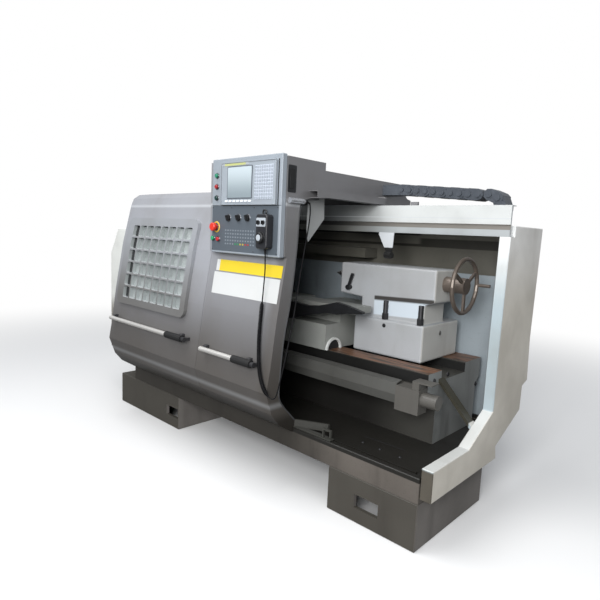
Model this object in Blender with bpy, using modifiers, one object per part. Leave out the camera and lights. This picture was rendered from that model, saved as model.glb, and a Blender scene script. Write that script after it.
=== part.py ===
"""Flat-bed CNC turning lathe with two sliding guard doors, drawn open at its right half.

Working axes: x from the chip tray's right end, y from the tray's front face, z from the floor.
Every point is moved to the object's own origin (bottom centre of its box) by place().
Skill feature: the drag chain, built link by link along a straight run and a return bend.
"""
import math

import bmesh
import bpy
import numpy as np
from mathutils import Matrix, Vector

GAP = 0.0003            # between touching pieces
RUN_GAP = 0.002         # between pieces that slide past each other
SHEET = 0.003           # folded sheet metal
OVERRUN = 0.02          # cutters past the faces they cut
ROUND = 24              # sides of large turned pieces
SMALL_ROUND = 14        # sides of small turned pieces
MERGE = 0.0001

# Tray, pedestals and bed
TRAY_LENGTH = 2.27
TRAY_DEPTH = 0.95
TRAY_Z0 = 0.21
TRAY_Z1 = 0.322
TRAY_FLOOR_Z = 0.298
TRAY_RIM = 0.03
TRAY_CORNER_Y = 0.62
TRAY_CORNER_X = 0.14
RAIL_THICK = 0.012
RIGHT_PEDESTAL_LENGTH = 0.472
LEFT_PEDESTAL_OUT = 0.19   # past the tray's left end
LEFT_PEDESTAL_LENGTH = 0.74
PEDESTAL_WALL = 0.02
FORK_LENGTH = 0.13         # lifting fork windows in the pedestals
LEFT_FORK_SIDE = 0.14      # from each pedestal's right end
RIGHT_FORK_SIDE = 0.317
FORK_Z = (0.068, 0.131)
BED_X1 = -0.17
BED_Y0 = 0.325
BED_Y1 = 0.884
WAY_Z = 0.66
BED_WEB_INSET = 0.085
BED_WAY_HEIGHT = 0.10
BED_SLOT_Y = (0.45, 0.70)
BED_SLOT_DEPTH = 0.05

# Doors
DOOR_SEAM = -1.285
DOOR_RIGHT = -0.715
DOOR_BULGE = 0.19          # the skin's belly, past the tray's front
DOOR_DEPTH = 0.95
DOOR_HEIGHT = 1.50
SKIN_DROP = 0.33           # from the roof to where the skin meets the cabinet's ledge
SKIN_TOP = DOOR_HEIGHT - SKIN_DROP
SKIN_SHARES = ((0.0105, 0.2564), (0.5263, 0.3077), (0.7895, 0.359), (1, 0.453), (0.8842, 0.5641),
               (0.7368, 0.7479), (0.4737, 1))
ROOF_SHARES = ((-0.0316, 0.9467), (-0.0126, 0.9747), (0.0316, 0.9933), (0.1053, 1), (0.9474, 1),
               (0.9968, 0.9933), (0.9926, 0.9707))
HOUSING_Y = -0.106
HOUSING_RISE = 0.127       # over the roof
HOUSING_Z1 = DOOR_HEIGHT + HOUSING_RISE
HOUSING_BACK_Y = 0.154
HEADER_BACK_Y = 0.815
HEADER_RISE = 0.09
HEADER_Z = DOOR_HEIGHT + HEADER_RISE
HEADER_EDGE_SHARES = ((0.9537, 1.0087), (0.9968, 1.0033), (0.9926, 0.9707))
EDGE_SHARES = ((0.1168, 0.9707), (0.0474, 0.9667), (0, 0.95), (-0.0189, 0.92), (-0.0284, 0.8027),
               (-0.0558, 0.6447), (-0.0937, 0.5187), (-0.1105, 0.39), (-0.1053, 0.3233), (-0.02, 0.26),
               (0.0295, 0.23), (0.0295, 0.2173))
LIP_REACH = 0.055          # folded lip along the control door's roof
LIP_FACE = 0.035

# Window in the left door
WINDOW_LEFT = 0.07         # from the door's two upright edges
WINDOW_RIGHT = 0.145
WINDOW_X = (WINDOW_LEFT - TRAY_LENGTH, DOOR_SEAM - WINDOW_RIGHT)
WINDOW_DROP = 0.165        # from the roof
WINDOW_HEIGHT = 0.555
WINDOW_Z = (DOOR_HEIGHT - WINDOW_DROP - WINDOW_HEIGHT, DOOR_HEIGHT - WINDOW_DROP)
WINDOW_RAISE = 0.022
WINDOW_CORNER = 0.045
GRILLE_MARGIN = (0.07, 0.04, 0.04, 0.045)
GRILLE_X = (WINDOW_X[0] + GRILLE_MARGIN[0], WINDOW_X[1] - GRILLE_MARGIN[1])
GRILLE_Z = (WINDOW_Z[0] + GRILLE_MARGIN[2], WINDOW_Z[1] - GRILLE_MARGIN[3])
GRILLE_CELL = (0.0825, 0.0783)
GRILLE_BAR = 0.020
GRILLE_CORNER = 0.014
GLASS_LAP = 0.012

# Door handles
LEFT_HANDLE_Z = 0.676
RIGHT_HANDLE_Z = 0.656
HANDLE_Y = -0.202
HANDLE_RADIUS = 0.013
GRIP_RADIUS = 0.0195
LEFT_HANDLE_X = (-2.215, -1.375)
LEFT_GRIP_X = (-1.550, -1.394)
RIGHT_HANDLE_X = (-1.215, -0.800)
RIGHT_GRIP_X = (-0.950, -0.816)
HANDLE_FOOT = 0.030

# Control cabinet, its units and buttons
CABINET_X = (-1.231, -0.719)
CABINET_Y = -0.137
CABINET_DROP = 0.004       # its ledge, below the skin's top
CABINET_RISE = 0.008       # over the housing
CABINET_Z = (SKIN_TOP - CABINET_DROP, HOUSING_Z1 + CABINET_RISE)
DISPLAY_X = (-1.147, -0.747)
DISPLAY_INSET = 0.025      # below the cabinet's top
DISPLAY_HEIGHT = 0.204
DISPLAY_Z = (CABINET_Z[1] - DISPLAY_INSET - DISPLAY_HEIGHT, CABINET_Z[1] - DISPLAY_INSET)
DISPLAY_DEPTH = 0.008
BUTTON_SHARES = (("power_on_button", 0.0801, 0.8273), ("power_off_button", 0.0801, 0.71),
                 ("mode_button", 0.0801, 0.5906), ("start_button", 0.0317, 0.1535),
                 ("stop_button", 0.1172, 0.1471))
BUTTON_RADIUS = 0.0105
BUTTON_PROUD = 0.012
BUTTON_PRESS = 0.004
BUTTON_DEPTH = 0.005
ROTARY_SHARES = (("rotary_switch_1", 0.2695, 0.3774), ("rotary_switch_2", 0.4219, 0.3795),
                 ("rotary_switch_3", 0.5547, 0.3817))
ROTARY_RADIUS = 0.015
ROTARY_PROUD = 0.018
ROTARY_LEAN = 0.5
KNOB_BAR_SHARE = 0.85      # a knob's finger bar, of its radius
ESTOP_SHARES = (0.0801, 0.2772)
ESTOP_RADIUS = 0.021
ESTOP_PROUD = 0.032
PENDANT_X = (-0.838, -0.764)
PENDANT_RISE = 0.037       # over the cabinet's foot
PENDANT_HEIGHT = 0.159
PENDANT_Z = (CABINET_Z[0] + PENDANT_RISE, CABINET_Z[0] + PENDANT_RISE + PENDANT_HEIGHT)
PENDANT_DEPTH = 0.043
PENDANT_CORNER = 0.012
DIAL_PROUD = 0.016
DIAL_RADIUS = 0.025
DIAL_SHARES = (0.5, 0.32)
KNOB_SHARES = (("pendant_knob_1", 0.28, 0.76), ("pendant_knob_2", 0.72, 0.76))
PENDANT_KNOB_RADIUS = 0.010
CONNECTOR_DROP = 0.070
CONNECTOR_Z = DOOR_HEIGHT - CONNECTOR_DROP
CONNECTOR_Y = (-0.100, 0.004)
CONNECTOR_RADIUS = 0.013
CORD_RADIUS = 0.0032
COIL_RADIUS = 0.0070
CORD_PATH = ((-0.792, -0.158, 1.2015, 0), (-0.789, -0.158, 1.150, 0), (-0.788, -0.158, 1.090, 0),
             (-0.793, -0.158, 1.026, 0), (-0.798, -0.159, 0.960, 1), (-0.801, -0.163, 0.880, 1),
             (-0.799, -0.170, 0.800, 1), (-0.788, -0.180, 0.728, 1), (-0.772, -0.190, 0.659, 1),
             (-0.748, -0.199, 0.605, 1), (-0.716, -0.205, 0.560, 1), (-0.684, -0.205, 0.532, 1),
             (-0.662, -0.197, 0.524, 0), (-0.655, -0.183, 0.540, 0), (-0.657, -0.164, 0.590, 0),
             (-0.656, -0.142, 0.670, 0), (-0.658, -0.115, 0.770, 0), (-0.668, -0.078, 0.889, 0),
             (-0.684, -0.040, 1.017, 0), (-0.695, -0.008, 1.134, 0), (-0.698, 0.014, 1.230, 0),
             (-0.697, 0.030, 1.320, 0), (-0.697, 0.036, 1.385, 0), (-0.698, 0.029, 1.424, 0),
             (-0.700, 0.0046, 1.430, 0))
CORD_STEPS = 3             # curve points from each route point to the next

# Enclosure frame
BEAM_X1 = 0.050
BEAM_Y = (0.550, 0.600)
BEAM_DROP = 0.050          # from the doors' roof
BEAM_HEIGHT = 0.142
BEAM_Z = (DOOR_HEIGHT - BEAM_DROP - BEAM_HEIGHT, DOOR_HEIGHT - BEAM_DROP)
CHANNEL_Y = (0.632, 0.748)
CHANNEL_X = (-0.640, -0.125)
END_X = (0.005, 0.057)
END_LAP = 0.051            # over the beam's lower edge
END_HEIGHT = BEAM_Z[0] + END_LAP
END_SHARES = ((0, 0.1744), (0, 0.2737), (0.3316, 0.2752), (0.5716, 0.3635), (0.5684, 0.6225), (0.5789, 1),
              (1.0074, 1), (0.9874, 0.5887), (1.0095, 0.4209), (0.9411, 0.4062), (0.9389, 0.3135),
              (0.6474, 0.2244), (0.6632, 0.1751))
GUARD_Y = 0.930
GUARD_LAP = 0.048
GUARD_Z1 = BEAM_Z[0] + GUARD_LAP
BULKHEAD_THICK = 0.015
BULKHEAD_X = (-TRAY_LENGTH - RUN_GAP - BULKHEAD_THICK, -TRAY_LENGTH - RUN_GAP)
BULKHEAD_Y = (0.020, 1.240)
BULKHEAD_DROP = 0.060
BULKHEAD_Z1 = DOOR_HEIGHT - BULKHEAD_DROP
LEDGE_X = (-1.600, -0.920)
LEDGE_Z = (1.150, 1.210)
LEDGE_Y0 = 0.800
COVER_LENGTH = 0.503
COVER_X0 = BULKHEAD_X[0] - COVER_LENGTH
COVER_Y = (0.080, 1.230)
COVER_Z = (0.340, 1.260)
COVER_CHAMFER_X = 0.115
COVER_CHAMFER_Z = 0.190

NOZZLE_X = (-0.654, -0.564)
NOZZLE_DROP = 0.108        # below the beam
NOZZLE_Z = BEAM_Z[0] - NOZZLE_DROP
NOZZLE_NARROW = 0.054
NOZZLE_RADIUS = 0.018
GUIDE_X = (-0.505, -0.463)
ARM_DROPS = (0.080, 0.054, 0.028, 0)    # below the roof
ARM_Z = [DOOR_HEIGHT - drop for drop in ARM_DROPS]
ARM_Y = (0.606, 0.620)
ARM_ROOT = 0.050
SHOE_Y = (0.004, 0.036)
SHOE_Z = (0.3245, 0.3290)
FOOT_X1 = -0.560
FOOT_Y = (0.010, 0.100)
FOOT_THICK = 0.012
FOOT_Z1 = 0.362
HOOK_X = (-0.530, -0.480)
HOOK_Z = (0.340, 0.373)

# Drag chain
CHAIN_Y = (0.640, 0.740)
CHAIN_PITCH = 0.048
CHAIN_HEIGHT = 0.056
CHAIN_RAISE = 0.085        # the chain's top at its bend, over the beam
CHAIN_CLIMB = 0.034        # from the bend to the door
CHAIN_TOP_Z = BEAM_Z[1] + CHAIN_RAISE
CHAIN_BEND_RADIUS = 0.0305
CHAIN_X0 = -0.590
CHAIN_BEND_X = -0.130
CHAIN_BOSS = 0.015
INNER_LINK_SHARE = 0.97     # even links, inside odd ones
CHAIN_STEP = 0.006
CHAIN_PLATE = CHAIN_HEIGHT / 2

# Headstock, spindle and drive
SPINDLE_Y = 0.605
SPINDLE_Z = 1.060
HEAD_LENGTH = 0.4117
HEAD_X = (BULKHEAD_X[1] + GAP, BULKHEAD_X[1] + GAP + HEAD_LENGTH)
HEAD_Y = (0.360, 0.850)
HEAD_Z1 = 1.300
BORE_RADIUS = 0.040
SPINDLE_RADIUS = 0.075
NOSE_RADIUS = 0.110
NOSE_LENGTH = 0.055
CHUCK_LENGTH = 0.115
CHUCK_X = (HEAD_X[1] + NOSE_LENGTH, HEAD_X[1] + NOSE_LENGTH + CHUCK_LENGTH)
CHUCK_RADIUS = 0.160
JAW_WIDTH = 0.036
JAW_LENGTH = 0.045
JAW_REACH = (0.062, 0.140)
JAW_TRAVEL = 0.018
PULLEY_STAND = 0.153       # off the bulkhead
PULLEY_WIDTH = 0.08
PULLEY_X = (BULKHEAD_X[0] - PULLEY_STAND - PULLEY_WIDTH, BULKHEAD_X[0] - PULLEY_STAND)
PULLEY_RADIUS = 0.110
MOTOR_Y = 1.090
MOTOR_Z = 0.700
MOTOR_PULLEY_RADIUS = 0.060
MOTOR_RADIUS = 0.120
MOTOR_LENGTH = 0.380
BELT_THICK = 0.008

# Carriage, turret and screw
SADDLE_X = (-1.440, -0.785)
SADDLE_Z = (WAY_Z + GAP, 0.800)
SADDLE_Y = (0.300, 0.860)
RISER_X0 = -1.100
RISER_Y = (0.420, 0.820)
WING_X1 = -0.604
WING_Y1 = 0.450
WING_Z = (0.880, 0.915)
APRON_THICK = 0.026
APRON_LENGTH = 0.905
APRON_HEIGHT = 0.135
APRON_SHARES = ((0, 0), (0, 0.63), (0.467, 0.733), (0.59, 0.681), (0.681, 0.748), (0.815, 1), (0.9, 0.92),
                (1, 0.778), (1, 0.70), (0.90, 0.63), (0.826, 0.526), (0.751, 0.526), (0.619, 0.326),
                (0.457, 0.03))
NUT_X = (-1.300, -1.180)
NUT_HALF = 0.027
CROSS_X = (-1.430, -1.220)
CROSS_Y = (0.335, 0.700)
CROSS_Z1 = 0.888
POST_CENTRE = (-1.325, 0.405)
POST_HALF = 0.068
POST_Z1 = 1.080
TOOL_REACH = 0.040
SCREW_Y = 0.288
SCREW_Z = 0.550
SCREW_RADIUS = 0.016
SCREW_INSET = 0.032        # the screw's left end, off the bulkhead
SCREW_X = (BULKHEAD_X[1] + SCREW_INSET, -0.190)
COVER_UP = 0.062           # the screw cover's top, over the screw
COVER_SHARES = ((0.16, 1), (-0.55, 0.87), (-0.66, 0), (-0.48, -0.71))
BLOCK_X = (-0.294, -0.169)
BLOCK_Z = (0.480, 0.596)
BLOCK_DEPTH = 0.080
CAP_X1 = -0.090
BRACKET_X = (-0.210, -0.110)
BRACKET_Z1 = 0.635
STRAP_Y = (0.425, 0.475)
STRAP_Z = (0.603, 0.418)
STRAP_THICK = 0.020

# Tailstock
TAIL_BASE_X = (-0.725, -0.300)
TAIL_BASE_Y = (0.470, 0.850)
TAIL_BASE_Z1 = 0.850
TAIL_BODY_X = (-0.860, -0.265)
TAIL_BODY_Y = (0.500, 0.710)
TAIL_BODY_Z = (0.950, 1.132)
QUILL_RADIUS = 0.042
QUILL_X = (-0.905, -0.420)
QUILL_END = 0.080
CENTRE_LENGTH = 0.075
WHEEL_X = -0.165
WHEEL_RADIUS = 0.145
WHEEL_RIM = 0.011
WHEEL_HUB = 0.040
SPOKE_SHARE = 0.7          # half widths of spoke and crank grip, of the rim's radius
GRIP_SHARE = 0.8
WHEEL_STEM_X = -0.335
WHEEL_KNOB = 0.070
LEVER_X = -0.790
LEVER_RADIUS = 0.014
LEVER_Z = 0.996
LEVER_STAND = 0.028
LEVER_LENGTH = 0.080

# Electrical cabinet at the back
ELECTRIC_CLEAR = 0.1417    # past the motor's end
ELECTRIC_LENGTH = 1.0
ELECTRIC_X0 = BULKHEAD_X[1] + GAP + MOTOR_LENGTH + ELECTRIC_CLEAR
ELECTRIC_X = (ELECTRIC_X0, ELECTRIC_X0 + ELECTRIC_LENGTH)
ELECTRIC_Y = (0.9456, 1.262)
ELECTRIC_Z = (0.360, 1.320)
ELECTRIC_DOOR = 0.026

# The object's box, from its outermost faces; the whole is centred on it
X_MIN, X_MAX = COVER_X0, END_X[1]
Y_MIN, Y_MAX = HANDLE_Y - GRIP_RADIUS, ELECTRIC_Y[1] + ELECTRIC_DOOR + GAP
CENTRE = Vector(((X_MIN + X_MAX) / 2, (Y_MIN + Y_MAX) / 2, 0))

SILVER = (0.56, 0.56, 0.58)
WHITE = (0.78, 0.79, 0.82)
DARK = (0.03, 0.03, 0.032)
GREY = (0.30, 0.31, 0.32)
CAST = (0.42, 0.43, 0.45)
STEEL = (0.62, 0.62, 0.62)
GREEN, RED = (0.02, 0.35, 0.12), (0.60, 0.03, 0.03)
BUTTON_COLOURS = {"power_on_button": GREEN, "power_off_button": RED, "mode_button": DARK,
                  "start_button": GREEN, "stop_button": RED}

for item in list(bpy.data.objects):
    bpy.data.objects.remove(item, do_unlink=True)
lathe = bpy.data.collections.new("cnc_turning_lathe")
tools = bpy.data.collections.new("cutters")
for collection in (lathe, tools):
    bpy.context.scene.collection.children.link(collection)


def place(x, y, z):
    return Vector((x, y, z)) - CENTRE


def paint(item, colour, roughness=0.5, metallic=0.0):
    material = bpy.data.materials.new(item.name)
    material.use_nodes = True
    shader = material.node_tree.nodes["Principled BSDF"]
    shader.inputs["Base Color"].default_value = (*colour, 1)
    shader.inputs["Roughness"].default_value = roughness
    shader.inputs["Metallic"].default_value = metallic
    item.data.materials.append(material)
    return item


def add(name, build, collection=lathe):
    """Make an object from a bmesh that build() fills."""
    mesh = bpy.data.meshes.new(name)
    bm = bmesh.new()
    build(bm)
    bmesh.ops.recalc_face_normals(bm, faces=bm.faces)
    bm.to_mesh(mesh)
    bm.free()
    item = bpy.data.objects.new(name, mesh)
    collection.objects.link(item)
    if collection is tools:
        item.hide_render = True
        item.display_type = 'WIRE'
    return item


def point_on(axis, u, v, w):
    """A point from its two outline coordinates and its height along the axis."""
    return place(*{'x': (w, u, v), 'y': (u, w, v), 'z': (u, v, w)}[axis])


def prism(outlines, axis, start, end):
    """A builder for outlines drawn across an axis and stretched along it."""
    def build(bm):
        for outline in outlines:
            low = [bm.verts.new(point_on(axis, u, v, start)) for u, v in outline]
            high = [bm.verts.new(point_on(axis, u, v, end)) for u, v in outline]
            bm.faces.new(low)
            bm.faces.new(high)
            for i in range(len(outline)):
                j = (i + 1) % len(outline)
                bm.faces.new((low[i], low[j], high[j], high[i]))
    return build


def boxes(*spans):
    """A builder for boxes, each given as its x, y and z spans."""
    def build(bm):
        for (x0, x1), (y0, y1), (z0, z1) in spans:
            prism([[(x0, y0), (x1, y0), (x1, y1), (x0, y1)]], 'z', z0, z1)(bm)
    return build


def rods(axis, *rows, sides=SMALL_ROUND):
    """A builder for cylinders: centre u, v, radius, start and end along the axis."""
    def build(bm):
        for u, v, radius, start, end in rows:
            prism([circle(u, v, radius, sides)], axis, start, end)(bm)
    return build


def circle(u, v, radius, sides):
    angles = [2 * math.pi * i / sides for i in range(sides)]
    return [(u + radius * math.cos(a), v + radius * math.sin(a)) for a in angles]


def rounded(u0, u1, v0, v1, radius, steps=3):
    """A rectangle with rounded corners."""
    corners = ((u1 - radius, v1 - radius, 0), (u0 + radius, v1 - radius, 1),
               (u0 + radius, v0 + radius, 2), (u1 - radius, v0 + radius, 3))
    points = []
    for u, v, quarter in corners:
        for i in range(steps + 1):
            a = (quarter + i / steps) * math.pi / 2
            points.append((u + radius * math.cos(a), v + radius * math.sin(a)))
    return points


def offset(path, distance):
    """An open path moved sideways, with mitred corners."""
    pts = np.array(path, float)
    steps = np.diff(pts, axis=0)
    steps /= np.linalg.norm(steps, axis=1)[:, None]
    normals = np.stack((steps[:, 1], -steps[:, 0]), axis=1)
    out = [pts[0] + normals[0] * distance]
    for i in range(1, len(pts) - 1):
        mitre = normals[i - 1] + normals[i]
        out.append(pts[i] + mitre * distance / (mitre @ normals[i]))
    out.append(pts[-1] + normals[-1] * distance)
    return [tuple(p) for p in out]


def shared(rows, across, high):
    """Outline points from their shares of a width and a height."""
    return tuple((u * across, v * high) for u, v in rows)


def band(path, near, far):
    """A closed strip between two sideways moves of a path."""
    return offset(path, near) + offset(path, far)[::-1]


def slice_path(path, low, high):
    """The part of a rising path between two heights."""
    ys, zs = zip(*path)
    inner = [p for p in path if low < p[1] < high]
    return [(float(np.interp(low, zs, ys)), low), *inner, (float(np.interp(high, zs, ys)), high)]


def turned(name, profile, origin, axis, colour, roughness=0.4, metallic=0.0, sides=ROUND):
    """A turned piece: rows of radius and height, from its far end down to its near end."""
    mesh = bpy.data.meshes.new(name)
    closed = profile[0][0] > 0
    edges = [(i, i + 1) for i in range(len(profile) - 1)] + ([(len(profile) - 1, 0)] if closed else [])
    mesh.from_pydata([(r, 0, h) for r, h in profile], edges, [])
    item = bpy.data.objects.new(name, mesh)
    lathe.objects.link(item)
    turn = Vector((0, 0, 1)).rotation_difference(Vector(axis)).to_matrix().to_4x4()
    item.matrix_world = Matrix.Translation(place(*origin)) @ turn
    screw = item.modifiers.new("Turn", 'SCREW')
    screw.steps = screw.render_steps = sides
    screw.use_merge_vertices = True
    screw.merge_threshold = MERGE
    smooth(item)
    return paint(item, colour, roughness, metallic)


def smooth(item, angle=0.6):
    for face in item.data.polygons:
        face.use_smooth = True
    item.data.set_sharp_from_angle(angle=angle)


def cut(item, build, operation='DIFFERENCE'):
    """Cut (or join) a builder's solids into an object."""
    cutter = add(item.name + "_cutter", build, tools)
    step = item.modifiers.new("Cut", 'BOOLEAN')
    step.operation = operation
    step.solver = 'EXACT'
    step.object = cutter
    step.use_self = True
    return item


def soften(item, width, segments=1, angle=0.7):
    bevel = item.modifiers.new("Edge", 'BEVEL')
    bevel.width = width
    bevel.segments = segments
    bevel.limit_method = 'ANGLE'
    bevel.angle_limit = angle
    return item


def pedestal(name, x0, x1, outline, fork_side):
    """A box open below, with a lifting fork's window in its front wall."""
    body = add(name, prism([outline], 'z', 0, TRAY_Z0 - GAP))
    soften(body, SHEET)
    inset = PEDESTAL_WALL
    cut(body, boxes(((x0 + inset, x1 - inset), (inset, TRAY_CORNER_Y - inset), (-OVERRUN, TRAY_Z0 - inset))))
    fork_x = x1 - fork_side
    cut(body, boxes(((fork_x, fork_x + FORK_LENGTH), (-OVERRUN, inset + OVERRUN), FORK_Z)))
    return paint(body, GREY, 0.55)


tray_outline = [(-TRAY_LENGTH, 0), (0, 0), (0, TRAY_CORNER_Y), (-TRAY_CORNER_X, TRAY_DEPTH)]
pedestal("pedestal_right", -RIGHT_PEDESTAL_LENGTH, 0,
         [(-RIGHT_PEDESTAL_LENGTH, 0), *tray_outline[1:], (-RIGHT_PEDESTAL_LENGTH, TRAY_DEPTH)],
         RIGHT_FORK_SIDE)
left_x0 = -TRAY_LENGTH - LEFT_PEDESTAL_OUT
left_x1 = left_x0 + LEFT_PEDESTAL_LENGTH
pedestal("pedestal_left", left_x0, left_x1,
         [(left_x0, 0), (left_x1, 0), (left_x1, TRAY_DEPTH), (left_x0, TRAY_DEPTH)], LEFT_FORK_SIDE)

tray = add("chip_tray", prism([[*tray_outline, (-TRAY_LENGTH, TRAY_DEPTH)]], 'z', TRAY_Z0, TRAY_Z1))
soften(tray, SHEET)
rim = TRAY_RIM
cut(tray, prism([[(rim - TRAY_LENGTH, rim), (-rim, rim), (-rim, TRAY_CORNER_Y - rim),
                  (-TRAY_CORNER_X - rim, TRAY_DEPTH - rim), (rim - TRAY_LENGTH, TRAY_DEPTH - rim)]],
                'z', TRAY_FLOOR_Z, TRAY_Z1 + OVERRUN))
cut(tray, boxes(((rim - TRAY_LENGTH + RAIL_THICK, -rim - RAIL_THICK),
                 (rim + RAIL_THICK, rim + 2 * RAIL_THICK),
                 (TRAY_FLOOR_Z - SHEET, TRAY_Z1))), 'UNION')
paint(tray, (0.14, 0.13, 0.125), 0.6)

web = BED_WEB_INSET
bed_foot = TRAY_FLOOR_Z + GAP
slot = [(BED_SLOT_Y[0], WAY_Z), (BED_SLOT_Y[0], WAY_Z - BED_SLOT_DEPTH),
        (BED_SLOT_Y[1], WAY_Z - BED_SLOT_DEPTH), (BED_SLOT_Y[1], WAY_Z)]
bed = add("bed", prism([[(BED_Y0 + web, bed_foot), (BED_Y0 + web, WAY_Z - BED_WAY_HEIGHT - web / 2),
                         (BED_Y0, WAY_Z - BED_WAY_HEIGHT), (BED_Y0, WAY_Z), *slot, (BED_Y1, WAY_Z),
                         (BED_Y1, WAY_Z - BED_WAY_HEIGHT),
                         (BED_Y1 - web / 2, WAY_Z - BED_WAY_HEIGHT - web / 2),
                         (BED_Y1 - web / 2, bed_foot)]], 'x', TRAY_RIM + GAP - TRAY_LENGTH, BED_X1))
paint(bed, (0.30, 0.27, 0.24), 0.45, 0.3)

head = add("headstock", prism([[(HEAD_Y[0], WAY_Z + GAP), (HEAD_Y[0], HEAD_Z1 - web),
                                (HEAD_Y[0] + web, HEAD_Z1), (HEAD_Y[1] - web, HEAD_Z1),
                                (HEAD_Y[1], HEAD_Z1 - web), (HEAD_Y[1], WAY_Z + GAP)]], 'x', *HEAD_X))
soften(head, 2 * SHEET)
cut(head, rods('x', (SPINDLE_Y, SPINDLE_Z, SPINDLE_RADIUS + GAP, HEAD_X[0] - OVERRUN, HEAD_X[1] + OVERRUN),
               sides=2 * ROUND))
paint(head, CAST, 0.45)

tail_x = PULLEY_X[0] - OVERRUN
nose = CHUCK_X[0] - GAP - tail_x
pulley = (PULLEY_X[0] - tail_x, PULLEY_X[1] - tail_x)
turned("spindle", [(BORE_RADIUS, nose), (NOSE_RADIUS, nose), (NOSE_RADIUS, HEAD_X[1] + RUN_GAP - tail_x),
                   (SPINDLE_RADIUS, HEAD_X[1] + RUN_GAP - tail_x), (SPINDLE_RADIUS, pulley[1]),
                   (PULLEY_RADIUS, pulley[1]), (PULLEY_RADIUS, pulley[0]), (SPINDLE_RADIUS, pulley[0]),
                   (SPINDLE_RADIUS, 0), (BORE_RADIUS, 0)], (tail_x, SPINDLE_Y, SPINDLE_Z), (1, 0, 0),
       STEEL, 0.3, 0.9)

chuck = add("chuck_body", rods('x', (SPINDLE_Y, SPINDLE_Z, CHUCK_RADIUS, *CHUCK_X), sides=2 * ROUND))
soften(chuck, 2 * SHEET)
paint(chuck, (0.36, 0.37, 0.38), 0.35, 0.8)


def ray(angle, along, across):
    """Outline point in the chuck's face, from its radius and its side offset."""
    c, s = math.cos(angle), math.sin(angle)
    return (SPINDLE_Y + along * c - across * s, SPINDLE_Z + along * s + across * c)


def radial(angle, near, far, width):
    return [ray(angle, near, -width), ray(angle, far, -width), ray(angle, far, width),
            ray(angle, near, width)]


jaw_angles = [math.radians(90 + 120 * i) for i in range(3)]
slot_depth = JAW_WIDTH / 3


def chuck_cuts(bm):
    rods('x', (SPINDLE_Y, SPINDLE_Z, BORE_RADIUS, CHUCK_X[0] - OVERRUN, CHUCK_X[1] + OVERRUN),
         sides=ROUND)(bm)


def slot_cuts(bm):
    for angle in jaw_angles:
        prism([radial(angle, JAW_REACH[0] - JAW_TRAVEL - GAP, CHUCK_RADIUS + OVERRUN, JAW_WIDTH / 2 + GAP)],
              'x', CHUCK_X[1] - slot_depth, CHUCK_X[1] + OVERRUN)(bm)


cut(chuck, chuck_cuts)
cut(chuck, slot_cuts)
for i, angle in enumerate(jaw_angles):
    jaw = add(f"jaw_{i + 1}", prism([radial(angle, *JAW_REACH, JAW_WIDTH / 2)], 'x',
                                    CHUCK_X[1] - slot_depth + GAP, CHUCK_X[1] + JAW_LENGTH))
    cut(jaw, prism([radial(angle, JAW_REACH[0] - OVERRUN, sum(JAW_REACH) / 2, JAW_WIDTH)], 'x',
                   CHUCK_X[1] + 2 * JAW_LENGTH / 3, CHUCK_X[1] + 2 * JAW_LENGTH))
    paint(jaw, STEEL, 0.3, 0.9)

shaft = MOTOR_PULLEY_RADIUS / 3
shaft_end = BULKHEAD_X[1] + GAP + OVERRUN - tail_x
turned("motor_pulley", [(0, shaft_end), (shaft, shaft_end), (shaft, pulley[1]),
                        (MOTOR_PULLEY_RADIUS, pulley[1]), (MOTOR_PULLEY_RADIUS, pulley[0]), (0, pulley[0])],
       (tail_x, MOTOR_Y, MOTOR_Z), (1, 0, 0), STEEL, 0.35, 0.8)


def belt_path(extra):
    """The loop round both pulleys, a set distance off their rims."""
    a, b = np.array((SPINDLE_Y, SPINDLE_Z)), np.array((MOTOR_Y, MOTOR_Z))
    along = math.atan2(*(b - a)[::-1])
    lean = math.acos((PULLEY_RADIUS - MOTOR_PULLEY_RADIUS) / np.linalg.norm(b - a))
    points = []
    for centre, radius, first, last in ((a, PULLEY_RADIUS, along + lean, along + 2 * math.pi - lean),
                                        (b, MOTOR_PULLEY_RADIUS, along - lean, along + lean)):
        for t in np.linspace(first, last, ROUND):
            points.append(tuple(centre + (radius + extra) * np.array((math.cos(t), math.sin(t)))))
    return points


def belt(bm):
    span = (PULLEY_X[0] + SHEET, PULLEY_X[1] - SHEET)
    rings = [[bm.verts.new(point_on('x', u, v, x)) for u, v in belt_path(extra)]
             for x, extra in ((span[0], 2 * GAP), (span[1], 2 * GAP), (span[1], BELT_THICK),
                              (span[0], BELT_THICK))]
    for k in range(4):
        a, b = rings[k], rings[(k + 1) % 4]
        for i in range(len(a)):
            j = (i + 1) % len(a)
            bm.faces.new((a[i], a[j], b[j], b[i]))


paint(add("drive_belt", belt), DARK, 0.8)

motor_end = BULKHEAD_X[1] + GAP
motor = add("spindle_motor", rods('x', (MOTOR_Y, MOTOR_Z, MOTOR_RADIUS, motor_end + OVERRUN / 2,
                                        motor_end + MOTOR_LENGTH), sides=ROUND))
cut(motor, boxes(((motor_end, motor_end + OVERRUN), (MOTOR_Y - MOTOR_RADIUS, MOTOR_Y + MOTOR_RADIUS),
                  (MOTOR_Z - MOTOR_RADIUS, MOTOR_Z + MOTOR_RADIUS))), 'UNION')
cut(motor, boxes(((motor_end + MOTOR_LENGTH / 3, motor_end + 2 * MOTOR_LENGTH / 3),
                  (MOTOR_Y - MOTOR_RADIUS / 2, MOTOR_Y + MOTOR_RADIUS / 2),
                  (MOTOR_Z, MOTOR_Z + MOTOR_RADIUS + 2 * OVERRUN))), 'UNION')
cut(motor, rods('x', (MOTOR_Y, MOTOR_Z, shaft + GAP, motor_end - OVERRUN, motor_end + 2 * OVERRUN),
                sides=2 * ROUND))
paint(motor, (0.20, 0.22, 0.25), 0.5)

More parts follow.
